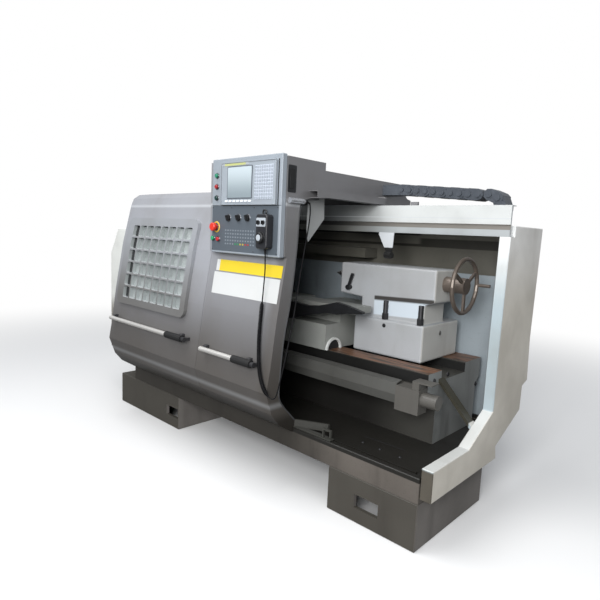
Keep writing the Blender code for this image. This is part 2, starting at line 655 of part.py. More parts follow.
cover_outline = [(BULKHEAD_X[0] - GAP, COVER_Z[0]), (BULKHEAD_X[0] - GAP, COVER_Z[1]),
                 (COVER_X0 + COVER_CHAMFER_X, COVER_Z[1]), (COVER_X0, COVER_Z[1] - COVER_CHAMFER_Z),
                 (COVER_X0, COVER_Z[0])]
wall = 2 * SHEET
cover = add("end_cover", prism([cover_outline], 'y', *COVER_Y))
soften(cover, wall)
cover_inner = [(BULKHEAD_X[0] + OVERRUN, COVER_Z[0] + wall), (BULKHEAD_X[0] + OVERRUN, COVER_Z[1] - wall),
               (COVER_X0 + COVER_CHAMFER_X + wall, COVER_Z[1] - wall),
               (COVER_X0 + wall, COVER_Z[1] - COVER_CHAMFER_Z - wall), (COVER_X0 + wall, COVER_Z[0] + wall)]
cut(cover, prism([cover_inner], 'y', COVER_Y[0] + wall, COVER_Y[1] - wall))
paint(cover, WHITE, 0.45)

guard = add("rear_guard", boxes(((BULKHEAD_X[0], -TRAY_CORNER_X), (GUARD_Y, GUARD_Y + 5 * SHEET),
                                 (TRAY_Z1 + GAP, GUARD_Z1))))
cut(guard, boxes((BULKHEAD_X, BULKHEAD_Y, (TRAY_Z1 + GAP, BULKHEAD_Z1))), 'UNION')
cut(guard, boxes((LEDGE_X, (LEDGE_Y0, GUARD_Y + SHEET), LEDGE_Z)), 'UNION')
cut(guard, rods('x', (SPINDLE_Y, SPINDLE_Z, SPINDLE_RADIUS + RUN_GAP, BULKHEAD_X[0] - OVERRUN,
                      BULKHEAD_X[1] + OVERRUN),
                (MOTOR_Y, MOTOR_Z, shaft + RUN_GAP, BULKHEAD_X[0] - OVERRUN, BULKHEAD_X[1] + OVERRUN),
                sides=ROUND))
paint(guard, (0.10, 0.10, 0.085), 0.6)

(y0, y1), (z0, z1) = BEAM_Y, BEAM_Z
lip = (z1 - z0) / 4
fold = z1 - 2.5 * lip
beam = add("top_beam", prism([[(y0, z0), (y0, z0 + lip), (y0 + 2 * SHEET, z0 + lip), (y0 + 2 * SHEET, fold),
                               (y0, fold), (y0, z1), (y1, z1), (y1, z1 - SHEET),
                               (y0 + 4 * SHEET, z1 - SHEET), (y0 + 4 * SHEET, z0 + SHEET), (y1, z0 + SHEET),
                               (y1, z0)]], 'x', BULKHEAD_X[1] + GAP, BEAM_X1))
chain_low = CHAIN_TOP_Z - 2 * (CHAIN_BEND_RADIUS + CHAIN_HEIGHT)
(c0, c1), floor = CHANNEL_Y, chain_low - GAP
cut(beam, prism([[(y1 - wall, z0 + SHEET / 2), (y1 - wall, z0 + 2 * SHEET), (c0, z0 + 2 * SHEET), (c0, floor),
                  (c1, floor), (c1, floor + 6 * SHEET), (c1 + SHEET, floor + 6 * SHEET),
                  (c1 + SHEET, floor - SHEET), (c0 + SHEET, floor - SHEET), (c0 + SHEET, z0 + SHEET / 2)]],
                'x', *CHANNEL_X), 'UNION')
paint(beam, WHITE, 0.4)

end = add("end_frame", prism([shared(END_SHARES, TRAY_DEPTH, END_HEIGHT)], 'x', *END_X))
soften(end, SHEET)
cut(end, boxes(((END_X[0] - OVERRUN, END_X[1] + OVERRUN), (BEAM_Y[0] - OVERRUN, BEAM_Y[1] + GAP),
                (BEAM_Z[0] - GAP, BEAM_Z[1]))))
paint(end, (0.68, 0.64, 0.58), 0.45)

(by0, by1) = (BED_Y0 - BLOCK_DEPTH, BED_Y0 - RUN_GAP)
block = add("screw_bearing_block", boxes((BLOCK_X, (by0, by1), BLOCK_Z)))
cap = by1 - SCREW_Y - GAP
cut(block, rods('x', (SCREW_Y, SCREW_Z, cap, BLOCK_X[1] - OVERRUN, CAP_X1), sides=ROUND), 'UNION')
cut(block, prism([[(BRACKET_X[0], BLOCK_Z[1] - wall), (BRACKET_X[0], BRACKET_Z1), (BRACKET_X[1], BRACKET_Z1),
                   (BRACKET_X[1], BRACKET_Z1 - wall), (BLOCK_X[1] - wall, BRACKET_Z1 - wall),
                   (BLOCK_X[1] - wall, BLOCK_Z[1] - wall)]], 'y', by0 + wall, by1 - wall), 'UNION')
cut(block, rods('x', (SCREW_Y, SCREW_Z, SCREW_RADIUS + GAP, BLOCK_X[0] - OVERRUN, SCREW_X[1] + GAP),
                sides=ROUND))
paint(block, (0.33, 0.34, 0.35), 0.5)

cover_path = [(SCREW_Y + y, SCREW_Z + z) for y, z in shared(COVER_SHARES, COVER_UP, COVER_UP)]
screw_cover = add("screw_cover", prism([band(cover_path, 0, -SHEET)], 'x', BULKHEAD_X[1] + GAP,
                                       BLOCK_X[0] - GAP))
paint(screw_cover, (0.36, 0.37, 0.38), 0.45)

cut(end, prism([[(BED_X1 + GAP, STRAP_Z[0]), (BED_X1 + GAP, STRAP_Z[0] + STRAP_THICK),
                 (END_X[0] + SHEET, STRAP_Z[1] + STRAP_THICK), (END_X[0] + SHEET, STRAP_Z[1])]], 'y',
               *STRAP_Y),
    'UNION')

x0, x1 = NOZZLE_X
zt = BEAM_Z[0] - GAP
nozzle = add("nozzle_bracket", prism([[(x0, zt), (x0, zt - 2 * wall), (x0 + NOZZLE_NARROW, NOZZLE_Z),
                                       (x1, NOZZLE_Z),
                                       (x1 + wall, zt)]], 'y', BEAM_Y[0], BEAM_Y[0] + SHEET))
cut(nozzle, rods('x', (BEAM_Y[0] + SHEET / 2, NOZZLE_Z - 2 * wall, NOZZLE_RADIUS,
                       x0 + NOZZLE_NARROW - wall, x1)),
    'UNION')
paint(nozzle, WHITE, 0.4)

door_skin = shared(SKIN_SHARES, -DOOR_BULGE, SKIN_TOP)
roof = shared(ROOF_SHARES, DOOR_DEPTH, DOOR_HEIGHT)
header = ((HOUSING_Y, SKIN_TOP), (HOUSING_Y, HOUSING_Z1), (HOUSING_BACK_Y, HOUSING_Z1),
          (HOUSING_BACK_Y, HEADER_Z),
          (HEADER_BACK_Y, HEADER_Z), *shared(HEADER_EDGE_SHARES, DOOR_DEPTH, DOOR_HEIGHT))
opening_edge = shared(EDGE_SHARES, DOOR_DEPTH, DOOR_HEIGHT)


def door_shell(name, x0, x1, top, plates):
    """A folded skin with its open-throated side plates, all one welding."""
    path = (*door_skin, *top)
    shell = add(name, prism([band(path, 0, SHEET)], 'x', x0, x1))
    inner = offset(path, SHEET / 2)
    side = [*inner, *opening_edge, (inner[0][0], opening_edge[-1][1])]
    for x in plates:
        cut(shell, prism([side], 'x', x, x + SHEET), 'UNION')
    return shell


left_door = door_shell("left_door_shell", -TRAY_LENGTH, DOOR_SEAM - RUN_GAP / 2, roof, [-TRAY_LENGTH])
gx0, gx1 = GRILLE_X[0] - GLASS_LAP, GRILLE_X[1] + GLASS_LAP
gz0, gz1 = GRILLE_Z[0] - GLASS_LAP, GRILLE_Z[1] + GLASS_LAP
cut(left_door, boxes(((gx0, gx1), (-DOOR_BULGE, 0), (gz0, gz1))))
paint(left_door, SILVER, 0.42, 0.25)

left_path = (*door_skin, *roof[:2])
pane = slice_path(left_path, gz0 + RUN_GAP, gz1 - RUN_GAP)
paint(add("window_glass", prism([band(pane, 0, SHEET)], 'x', gx0 + GAP, gx1 - GAP)), (0.62, 0.66, 0.64), 0.1)

raised = slice_path(left_path, *WINDOW_Z)
grille = add("window_grille", prism([band(raised, -GAP, -WINDOW_RAISE)], 'x', *WINDOW_X))
(wx0, wx1), (wz0, wz1) = WINDOW_X, WINDOW_Z
cut(grille, prism([rounded(wx0, wx1, wz0, wz1, WINDOW_CORNER)], 'y', -DOOR_BULGE - OVERRUN, OVERRUN),
    'INTERSECT')
columns, rows = (round((v[1] - v[0]) / cell) for v, cell in zip((GRILLE_X, GRILLE_Z), GRILLE_CELL))
pitch_x = (GRILLE_X[1] - GRILLE_X[0]) / columns
pitch_z = (GRILLE_Z[1] - GRILLE_Z[0]) / rows
half = GRILLE_BAR / 2
holes = [rounded(GRILLE_X[0] + i * pitch_x + half, GRILLE_X[0] + (i + 1) * pitch_x - half,
                 GRILLE_Z[0] + j * pitch_z + half, GRILLE_Z[0] + (j + 1) * pitch_z - half, GRILLE_CORNER, 2)
         for i in range(columns) for j in range(rows)]
cut(grille, prism(holes, 'y', -DOOR_BULGE - OVERRUN, OVERRUN))
paint(grille, SILVER, 0.4, 0.3)

control_door = door_shell("control_door_shell", DOOR_SEAM + RUN_GAP / 2, DOOR_RIGHT, header,
                          [DOOR_RIGHT - SHEET])
arm_x = DOOR_RIGHT - SHEET / 2
cut(control_door, prism([[(arm_x, ARM_Z[0]), (GUIDE_X[1], ARM_Z[0]), (GUIDE_X[1], ARM_Z[2]),
                          (GUIDE_X[0], ARM_Z[2]),
                          (GUIDE_X[0], ARM_Z[1]), (arm_x + ARM_ROOT, ARM_Z[1]), (arm_x + ARM_ROOT, ARM_Z[3]),
                          (arm_x, ARM_Z[3])]], 'y', *ARM_Y), 'UNION')
lip_x = DOOR_RIGHT + LIP_REACH
lip_path = (opening_edge[1], opening_edge[0], (BEAM_Y[1], opening_edge[0][1]))
cut(control_door, prism([band(lip_path, 0, -LIP_FACE)], 'x', lip_x - SHEET, lip_x), 'UNION')
for near, far in ((0, -SHEET), (SHEET - LIP_FACE, -LIP_FACE)):
    cut(control_door, prism([band(lip_path, near, far)], 'x', arm_x, lip_x - SHEET / 2), 'UNION')
paint(control_door, SILVER, 0.42, 0.25)


def handle(side, z, bar_x, grip_x):
    """A bar on two posts that follow the skin, with a sleeve near its right end."""
    (x0, x1), foot = bar_x, HANDLE_FOOT / 2
    bar = add(side + "_handle_bar", rods('x', (HANDLE_Y, z, HANDLE_RADIUS, x0 - foot / 2, x1 + foot / 2)))
    seat = offset(slice_path(door_skin, z - foot / 2, z + foot / 2), -GAP)
    for x in (x0, x1):
        cut(bar, prism([[(HANDLE_Y, seat[0][1]), *seat, (HANDLE_Y, seat[-1][1])]], 'x', x - foot / 2,
                       x + foot / 2),
            'UNION')
    paint(bar, (0.75, 0.76, 0.78), 0.25, 0.9)
    length = grip_x[1] - grip_x[0]
    inner = HANDLE_RADIUS + 2 * GAP
    turned(side + "_handle_grip", [(inner, length), (GRIP_RADIUS, length), (GRIP_RADIUS, 0), (inner, 0)],
           (grip_x[0], HANDLE_Y, z), (1, 0, 0), DARK, 0.7, sides=SMALL_ROUND)


handle("left", LEFT_HANDLE_Z, LEFT_HANDLE_X, LEFT_GRIP_X)
handle("right", RIGHT_HANDLE_Z, RIGHT_HANDLE_X, RIGHT_GRIP_X)


def spot(spans, u, v):
    """A place on a panel from its shares of the panel's width and height."""
    (x0, x1), (z0, z1) = spans
    return x0 + u * (x1 - x0), z0 + v * (z1 - z0)


front = CABINET_Y
cabinet = add("control_cabinet", boxes((CABINET_X, (front, HOUSING_Y - GAP), CABINET_Z)))
soften(cabinet, SHEET)
pocket = BUTTON_DEPTH + BUTTON_PRESS + GAP
buttons = [(name, *spot((CABINET_X, CABINET_Z), u, v)) for name, u, v in BUTTON_SHARES]
estop = spot((CABINET_X, CABINET_Z), *ESTOP_SHARES)
cut(cabinet, rods('y', *[(x, z, BUTTON_RADIUS + GAP, front - OVERRUN, front + pocket) for _, x, z in buttons],
                  (*estop, ESTOP_RADIUS / 2 + GAP, front - OVERRUN, front + pocket + BUTTON_PRESS)))
paint(cabinet, (0.72, 0.73, 0.75), 0.45)

(dx0, dx1), (dz0, dz1) = DISPLAY_X, DISPLAY_Z
paint(add("display_unit", prism([rounded(dx0, dx1, dz0, dz1, 2 * SHEET, 2)], 'y', front - DISPLAY_DEPTH,
                                front - GAP)), (0.74, 0.75, 0.74), 0.5)

r = BUTTON_RADIUS
for name, x, z in buttons:
    turned(name, [(0, BUTTON_PROUD), (r - SHEET / 2, BUTTON_PROUD), (r, BUTTON_PROUD - SHEET / 2),
                  (r, -BUTTON_DEPTH), (0, -BUTTON_DEPTH)], (x, front, z), (0, -1, 0),
           BUTTON_COLOURS[name], 0.4, sides=SMALL_ROUND)
turned("estop_button", [(0, ESTOP_PROUD), (ESTOP_RADIUS - SHEET, ESTOP_PROUD),
                        (ESTOP_RADIUS, ESTOP_PROUD - SHEET),
                        (ESTOP_RADIUS, ESTOP_PROUD / 2), (ESTOP_RADIUS / 2, ESTOP_PROUD / 2 - SHEET),
                        (ESTOP_RADIUS / 2, -BUTTON_DEPTH), (0, -BUTTON_DEPTH)], (estop[0], front, estop[1]),
       (0, -1, 0), (0.75, 0.04, 0.03), 0.4, sides=2 * SMALL_ROUND)


def knob(name, x, z, radius, face, proud, lean=0.0):
    """A selector with a raised finger bar across its round base."""
    base = add(name, rods('y', (x, z, radius, face - proud / 2, face - GAP)))
    c, s = math.cos(lean), math.sin(lean)
    thick, tall = radius / 4, radius * KNOB_BAR_SHARE
    bar = [(x + u * c - v * s, z + u * s + v * c)
           for u, v in ((-thick, -tall), (thick, -tall), (thick, tall), (-thick, tall))]
    cut(base, prism([bar], 'y', face - proud, face - proud / 4), 'UNION')
    return paint(base, DARK, 0.4)


for name, u, v in ROTARY_SHARES:
    knob(name, *spot((CABINET_X, CABINET_Z), u, v), ROTARY_RADIUS, front, ROTARY_PROUD, ROTARY_LEAN)

pendant_back = front - GAP
(px0, px1), (pz0, pz1) = PENDANT_X, PENDANT_Z
pendant_front = front - PENDANT_DEPTH
pendant = add("pendant", prism([rounded(px0, px1, pz0, pz1, PENDANT_CORNER, 2)], 'y', pendant_front,
                               pendant_back))
soften(pendant, SHEET)
paint(pendant, DARK, 0.6)
dial_x, dial_z = spot((PENDANT_X, PENDANT_Z), *DIAL_SHARES)
turned("pendant_dial", [(0, DIAL_PROUD), (DIAL_RADIUS - SHEET, DIAL_PROUD), (DIAL_RADIUS, DIAL_PROUD - SHEET),
                        (DIAL_RADIUS, GAP), (0, GAP)], (dial_x, pendant_front, dial_z), (0, -1, 0),
       (0.80, 0.80, 0.82), 0.3, 0.6)
for name, u, v in KNOB_SHARES:
    knob(name, *spot((PENDANT_X, PENDANT_Z), u, v), PENDANT_KNOB_RADIUS, pendant_front, DIAL_PROUD)

connector_x = DOOR_RIGHT + GAP + CONNECTOR_RADIUS
c0, c1 = CONNECTOR_Y
turned("cord_connector", [(0, c1 - c0), (CORD_RADIUS * 2, c1 - c0),
                          (CORD_RADIUS * 2, c1 - c0 - CONNECTOR_RADIUS),
                          (CONNECTOR_RADIUS, c1 - c0 - CONNECTOR_RADIUS), (CONNECTOR_RADIUS, 0), (0, 0)],
       (connector_x, c0, CONNECTOR_Z), (0, 1, 0), (0.7, 0.7, 0.7), 0.25, 0.9, sides=SMALL_ROUND)


def smooth_route(rows, steps):
    """A rounded curve through a route's points; the last column is blended too."""
    pts = np.array(rows, float)
    pts = np.vstack((2 * pts[0] - pts[1], pts, 2 * pts[-1] - pts[-2]))
    out = []
    for a, b, c, d in zip(pts, pts[1:], pts[2:], pts[3:]):
        for t in np.arange(steps) / steps:
            out.append((2 * b + (c - a) * t + (2 * a - 5 * b + 4 * c - d) * t ** 2
                        + (3 * b - a - 3 * c + d) * t ** 3) / 2)
    return [*out, pts[-2]]


cord = bpy.data.curves.new("pendant_cord", 'CURVE')
cord.dimensions = '3D'
cord.bevel_depth = CORD_RADIUS
cord.bevel_resolution = 2
cord.use_fill_caps = True
line = cord.splines.new('POLY')
route = smooth_route(CORD_PATH, CORD_STEPS)
line.points.add(len(route) - 1)
for point, (x, y, z, coiled) in zip(line.points, route):
    point.co = (*place(x, y, z), 1)
    point.radius = COIL_RADIUS / CORD_RADIUS if 2 * coiled > 1 else 1
cord_item = bpy.data.objects.new("pendant_cord", cord)
lathe.objects.link(cord_item)
paint(cord_item, DARK, 0.6)

hx0, hx1 = HOOK_X
shoe = add("guide_shoe", boxes(((DOOR_RIGHT + GAP, hx1 + SHEET), SHOE_Y, SHOE_Z)))
foot = [(DOOR_RIGHT + GAP, FOOT_Y[0]), (FOOT_X1, FOOT_Y[1] - FOOT_THICK), (FOOT_X1, FOOT_Y[1]),
        (DOOR_RIGHT + GAP, FOOT_Y[0] + FOOT_THICK)]
cut(shoe, prism([foot], 'z', SHOE_Z[0], FOOT_Z1), 'UNION')
cut(shoe, prism([[(hx0, SHOE_Z[0] + GAP), (hx0, HOOK_Z[1]), (hx1, HOOK_Z[1]), (hx1, HOOK_Z[0]),
                  (hx1 - wall, HOOK_Z[0]), (hx1 - wall, HOOK_Z[1] - wall), (hx0 + wall, HOOK_Z[1] - wall),
                  (hx0 + wall, SHOE_Z[0] + GAP)]], 'y', SHOE_Y[0] + wall, SHOE_Y[0] + 3 * wall), 'UNION')
paint(shoe, (0.25, 0.25, 0.26), 0.5)


def link(u0, w0, u1, w1, grow):
    """One chain link's side plate: a bar with round ends between two pins."""
    lean = math.atan2(w1 - w0, u1 - u0)
    points = []
    for u, w, turn in ((u1, w1, lean), (u0, w0, lean + math.pi)):
        for k in range(-2, 3):
            a = turn + k * math.pi / 4
            points.append((u + CHAIN_PLATE * grow * math.cos(a), w + CHAIN_PLATE * grow * math.sin(a)))
    return points


def chain(name, pins):
    """Links laid pin to pin, odd ones outside even ones, with a boss on every pin."""
    y0, y1 = CHAIN_Y
    spans = list(zip(pins, pins[1:]))
    body = add(name, prism([link(*spans[0][0], *spans[0][1], 1)], 'y', y0, y1))

    def rest(odd):
        def build(bm):
            inset = 0 if odd else CHAIN_STEP
            for a, b in spans[(0 if odd else 1)::2]:
                prism([link(*a, *b, 1 if odd else INNER_LINK_SHARE)], 'y', y0 + inset, y1 - inset)(bm)
        return build

    def bosses(bm):
        rods('y', *[(u, w, CHAIN_BOSS, y0 - CHAIN_STEP, y1 + CHAIN_STEP) for u, w in pins], sides=10)(bm)
    for build in (rest(False), rest(True), bosses):
        cut(body, build, 'UNION')
    return paint(body, (0.04, 0.04, 0.045), 0.5)


top = CHAIN_TOP_Z - CHAIN_PLATE
radius = CHAIN_BEND_RADIUS + CHAIN_HEIGHT / 2
low = top - 2 * radius
count = round((CHAIN_BEND_X - CHAIN_X0) / CHAIN_PITCH)
pins = [(CHAIN_X0 + i * CHAIN_PITCH, top + CHAIN_CLIMB * (1 - i / (count - 1))) for i in range(count)]
upper = chain("chain_upper_run", pins)
anchor = pins[0][1]
cut(upper, boxes(((DOOR_RIGHT + GAP, CHAIN_X0), (CHAIN_Y[0] + CHAIN_STEP, CHAIN_Y[1] - CHAIN_STEP),
                  (anchor - CHAIN_PLATE, anchor + CHAIN_PLATE))), 'UNION')
bend_x = pins[-1][0] + 2 * CHAIN_PLATE + GAP
steps = round(math.pi * radius / CHAIN_PITCH)
bend = [(bend_x + radius * math.sin(t), low + radius + radius * math.cos(t))
        for t in np.linspace(0, math.pi, steps + 1)]
run = round((bend_x - CHANNEL_X[0] - 2 * CHAIN_PITCH) / CHAIN_PITCH)
chain("chain_bend", [*bend, *[(bend_x - i * CHAIN_PITCH, low) for i in range(1, run)]])

saddle = add("saddle", boxes((SADDLE_X, SADDLE_Y, SADDLE_Z)))
cut(saddle, boxes(((RISER_X0, SADDLE_X[1]), RISER_Y, (SADDLE_Z[1] - wall, WING_Z[0] + SHEET))), 'UNION')
cut(saddle, boxes(((RISER_X0 + wall, WING_X1), (SADDLE_Y[0] + wall, WING_Y1), WING_Z)), 'UNION')
cut(saddle, boxes((NUT_X, (SADDLE_Y[0] + RUN_GAP, BED_Y0 - 2 * RUN_GAP), (SCREW_Z, SADDLE_Z[0] + OVERRUN))),
    'UNION')
cut(saddle, boxes((NUT_X, (SCREW_Y - NUT_HALF, SCREW_Y + NUT_HALF),
                   (SCREW_Z - NUT_HALF, SCREW_Z + NUT_HALF))),
    'UNION')
cut(saddle, rods('x', (SCREW_Y, SCREW_Z, SCREW_RADIUS + GAP, NUT_X[0] - OVERRUN, NUT_X[1] + OVERRUN),
                 sides=ROUND))
paint(saddle, (0.36, 0.38, 0.36), 0.5)

apron_outline = [(SADDLE_X[0] + u, SADDLE_Z[1] + GAP + v)
                 for u, v in shared(APRON_SHARES, APRON_LENGTH, APRON_HEIGHT)]
apron = add("carriage_cover", prism([apron_outline], 'y', SADDLE_Y[0] - APRON_THICK, SADDLE_Y[0] - GAP))
paint(apron, DARK, 0.6)

cross = add("cross_slide", boxes((CROSS_X, CROSS_Y, (SADDLE_Z[1] + GAP, CROSS_Z1))))
soften(cross, SHEET)
paint(cross, CAST, 0.4)
post_x, post_y = POST_CENTRE
post = add("tool_post", boxes(((post_x - POST_HALF, post_x + POST_HALF),
                               (post_y - POST_HALF, post_y + POST_HALF),
                               (CROSS_Z1 + GAP, POST_Z1))))
slot_z = SPINDLE_Z - 4 * wall
near, deep = POST_HALF / 2, 2 * POST_HALF
cut(post, boxes(((post_x - deep, post_x - near), (post_y - near, post_y), (slot_z, SPINDLE_Z)),
                ((post_x + near, post_x + deep), (post_y, post_y + near), (slot_z, SPINDLE_Z))))
cut(post, boxes(((post_x - POST_HALF - TOOL_REACH, post_x - POST_HALF / 3),
                 (post_y - POST_HALF / 2 + SHEET, post_y - SHEET), (slot_z - GAP, SPINDLE_Z - wall))),
    'UNION')
paint(post, (0.30, 0.31, 0.32), 0.4, 0.6)
reach = SCREW_X[1] - SCREW_X[0]
turned("ball_screw", [(0, reach), (SCREW_RADIUS, reach), (SCREW_RADIUS, 0), (0, 0)],
       (SCREW_X[0], SCREW_Y, SCREW_Z), (1, 0, 0), STEEL, 0.25, 0.9, sides=SMALL_ROUND)

(tx0, tx1), (ty0, ty1) = TAIL_BASE_X, TAIL_BASE_Y
tail = add("tailstock", boxes((TAIL_BASE_X, TAIL_BASE_Y, (WAY_Z + GAP, TAIL_BASE_Z1))))
(bx0, bx1), (by0, by1), (bz0, bz1) = TAIL_BODY_X, TAIL_BODY_Y, TAIL_BODY_Z
body_outline = [(bx0, bz0 + 2 * wall), (bx0, bz1), (bx1, bz1), (bx1, bz0 + 3 * wall), (tx1 - 3 * wall, bz0),
                (tx1 - 3 * wall, TAIL_BASE_Z1 - wall), (tx0 + 3 * wall, TAIL_BASE_Z1 - wall),
                (tx0 + 3 * wall, bz0)]
cut(tail, prism([body_outline], 'y', by0, by1), 'UNION')
soften(tail, 3 * wall, 2)
cut(tail, rods('x', (SPINDLE_Y, SPINDLE_Z, QUILL_RADIUS + GAP, bx0 - OVERRUN, bx1 - QUILL_END),
               sides=2 * ROUND))
stem = WHEEL_HUB / 2
cut(tail, rods('x', (SPINDLE_Y, SPINDLE_Z, stem + GAP, bx0, bx1 + OVERRUN), sides=ROUND))
paint(tail, (0.50, 0.51, 0.54), 0.4)

qx0, qx1 = QUILL_X
turned("quill", [(0, 0), (QUILL_RADIUS, 0), (QUILL_RADIUS, qx0 - qx1), (QUILL_RADIUS / 2, qx0 - qx1),
                 (QUILL_RADIUS / 2, qx0 - qx1 - CENTRE_LENGTH / 3), (0, qx0 - qx1 - CENTRE_LENGTH)],
       (qx1, SPINDLE_Y, SPINDLE_Z), (1, 0, 0), STEEL, 0.25, 0.9)

wheel = add("handwheel", rods('x', (SPINDLE_Y, SPINDLE_Z, stem, WHEEL_STEM_X, bx1 + GAP + OVERRUN),
                              sides=ROUND))
cut(wheel, rods('x', (SPINDLE_Y, SPINDLE_Z, WHEEL_HUB, bx1 + GAP, WHEEL_X + WHEEL_RIM), sides=ROUND), 'UNION')
rim_major = WHEEL_RADIUS - WHEEL_RIM


def rim_ring(bm):
    loops = []
    for i in range(ROUND):
        a = 2 * math.pi * i / ROUND
        loops.append([bm.verts.new(point_on('x',
                                            SPINDLE_Y + (rim_major + WHEEL_RIM * math.cos(b)) * math.cos(a),
                                            SPINDLE_Z + (rim_major + WHEEL_RIM * math.cos(b)) * math.sin(a),
                                            WHEEL_X + WHEEL_RIM * math.sin(b)))
                      for b in np.linspace(0, 2 * math.pi, 8, endpoint=False)])
    for i in range(ROUND):
        for k in range(8):
            bm.faces.new((loops[i][k], loops[i][(k + 1) % 8], loops[(i + 1) % ROUND][(k + 1) % 8],
                          loops[(i + 1) % ROUND][k]))


def spoke(bm):
    for i in range(3):
        a = math.radians(30 + 120 * i)
        ends = [(SPINDLE_Y + r * math.cos(a), SPINDLE_Z + r * math.sin(a)) for r in (WHEEL_HUB / 2,
                                                                                     rim_major)]
        half = WHEEL_RIM * SPOKE_SHARE
        side = (-math.sin(a) * half, math.cos(a) * half)
        outline = [(ends[0][0] + side[0], ends[0][1] + side[1]), (ends[0][0] - side[0], ends[0][1] - side[1]),
                   (ends[1][0] - side[0], ends[1][1] - side[1]), (ends[1][0] + side[0], ends[1][1] + side[1])]
        prism([outline], 'x', WHEEL_X - WHEEL_RIM / 2, WHEEL_X + WHEEL_RIM / 2)(bm)


cut(wheel, rim_ring, 'UNION')
cut(wheel, spoke, 'UNION')
cut(wheel, rods('x', (SPINDLE_Y + rim_major, SPINDLE_Z, WHEEL_RIM * GRIP_SHARE, WHEEL_X,
                      WHEEL_X + WHEEL_KNOB),
                sides=10), 'UNION')
paint(wheel, (0.60, 0.61, 0.63), 0.3, 0.8)

lever_y = by0 - GAP
lever = add("quill_lock_lever", rods('y', (LEVER_X, LEVER_Z, LEVER_RADIUS, lever_y - LEVER_STAND, lever_y)))
half, reach = LEVER_RADIUS / 2, LEVER_LENGTH / 3
lever_top = LEVER_Z + LEVER_LENGTH
cut(lever, prism([[(LEVER_X - half, LEVER_Z), (LEVER_X + half, LEVER_Z), (LEVER_X + half + reach, lever_top),
                   (LEVER_X - half + reach, lever_top)]], 'y', lever_y - LEVER_STAND + SHEET,
                 lever_y - LEVER_STAND / 2), 'UNION')
paint(lever, DARK, 0.4)

(ex0, ex1), (ey0, ey1), (ez0, ez1) = ELECTRIC_X, ELECTRIC_Y, ELECTRIC_Z
electric = add("electrical_cabinet", boxes((ELECTRIC_X, ELECTRIC_Y, ELECTRIC_Z)))
inset = 4 * wall
cut(electric, boxes(((ex0 + inset, ex1 - inset), (ey0 + inset, ey1 + OVERRUN), (ez0 + inset, ez1 - inset))))
cut(electric, boxes(((ex0 + 3 * inset, ex1 - 3 * inset), (ey0 + inset - SHEET, ey0 + 3 * inset),
                     (ez0 + 6 * inset, ez1 - 6 * inset))), 'UNION')
paint(electric, SILVER, 0.45)
back_door = add("electrical_door", boxes((ELECTRIC_X, (ey1 + GAP, ey1 + GAP + ELECTRIC_DOOR), ELECTRIC_Z)))
soften(back_door, wall)
paint(back_door, SILVER, 0.45)
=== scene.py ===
import math
import bmesh
import bpy
import numpy as np
from mathutils import Matrix, Vector


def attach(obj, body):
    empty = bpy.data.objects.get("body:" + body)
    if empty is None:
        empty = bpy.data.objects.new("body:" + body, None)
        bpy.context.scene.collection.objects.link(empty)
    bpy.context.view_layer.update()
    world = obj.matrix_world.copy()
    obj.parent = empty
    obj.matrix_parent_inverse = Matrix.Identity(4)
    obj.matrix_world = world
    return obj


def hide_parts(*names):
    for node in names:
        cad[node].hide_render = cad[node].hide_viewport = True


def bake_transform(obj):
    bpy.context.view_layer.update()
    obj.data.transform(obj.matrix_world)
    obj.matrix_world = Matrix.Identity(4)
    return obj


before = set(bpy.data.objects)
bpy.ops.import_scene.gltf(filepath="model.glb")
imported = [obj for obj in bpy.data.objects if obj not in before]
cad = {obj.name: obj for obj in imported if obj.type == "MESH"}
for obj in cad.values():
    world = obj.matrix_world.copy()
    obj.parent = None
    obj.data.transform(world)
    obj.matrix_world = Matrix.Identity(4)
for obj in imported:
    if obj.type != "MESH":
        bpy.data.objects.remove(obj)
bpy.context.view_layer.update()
shift = Vector((1.3665, -0.5334, 0))  # from the tray's right front corner to the object's origin


def at(x, y, z):
    return Vector((x, y, z)) + shift


# Camera
view = {"place": at(0.9457, -1.7606, 1.285), "yaw": 43.14, "pitch": 7.55, "roll": 2.58, "focal": 506.8,
        "pixels": 600, "sensor": 36, "near": 0.05}
yaw, pitch, roll = (math.radians(view[k]) for k in ("yaw", "pitch", "roll"))
back = Vector((math.sin(yaw) * math.cos(pitch), -math.cos(yaw) * math.cos(pitch), math.sin(pitch)))
right = Vector((math.cos(yaw), math.sin(yaw), 0))
up = right.cross(-back)
rolled = (math.cos(roll) * right + math.sin(roll) * up, math.cos(roll) * up - math.sin(roll) * right, back)
turned = Matrix([list(v) for v in rolled]).transposed().to_4x4()
camera = bpy.data.objects.new("camera", bpy.data.cameras.new("camera"))
bpy.context.scene.collection.objects.link(camera)
camera.matrix_world = Matrix.Translation(view["place"]) @ turned
camera.data.sensor_width = view["sensor"]
camera.data.lens = view["focal"] / view["pixels"] * view["sensor"]
camera.data.clip_start = view["near"]
bpy.context.scene.camera = camera
bpy.context.scene.view_settings.view_transform = 'Standard'
print("camera")


# Shader sums on sockets
def rgb(*screen):  # a screen colour of 0 to 255 as Blender's linear colour
    shares = [c / 255 for c in screen]
    return tuple(s / 12.92 if s <= 0.04045 else ((s + 0.055) / 1.055) ** 2.4 for s in shares) + (1,)


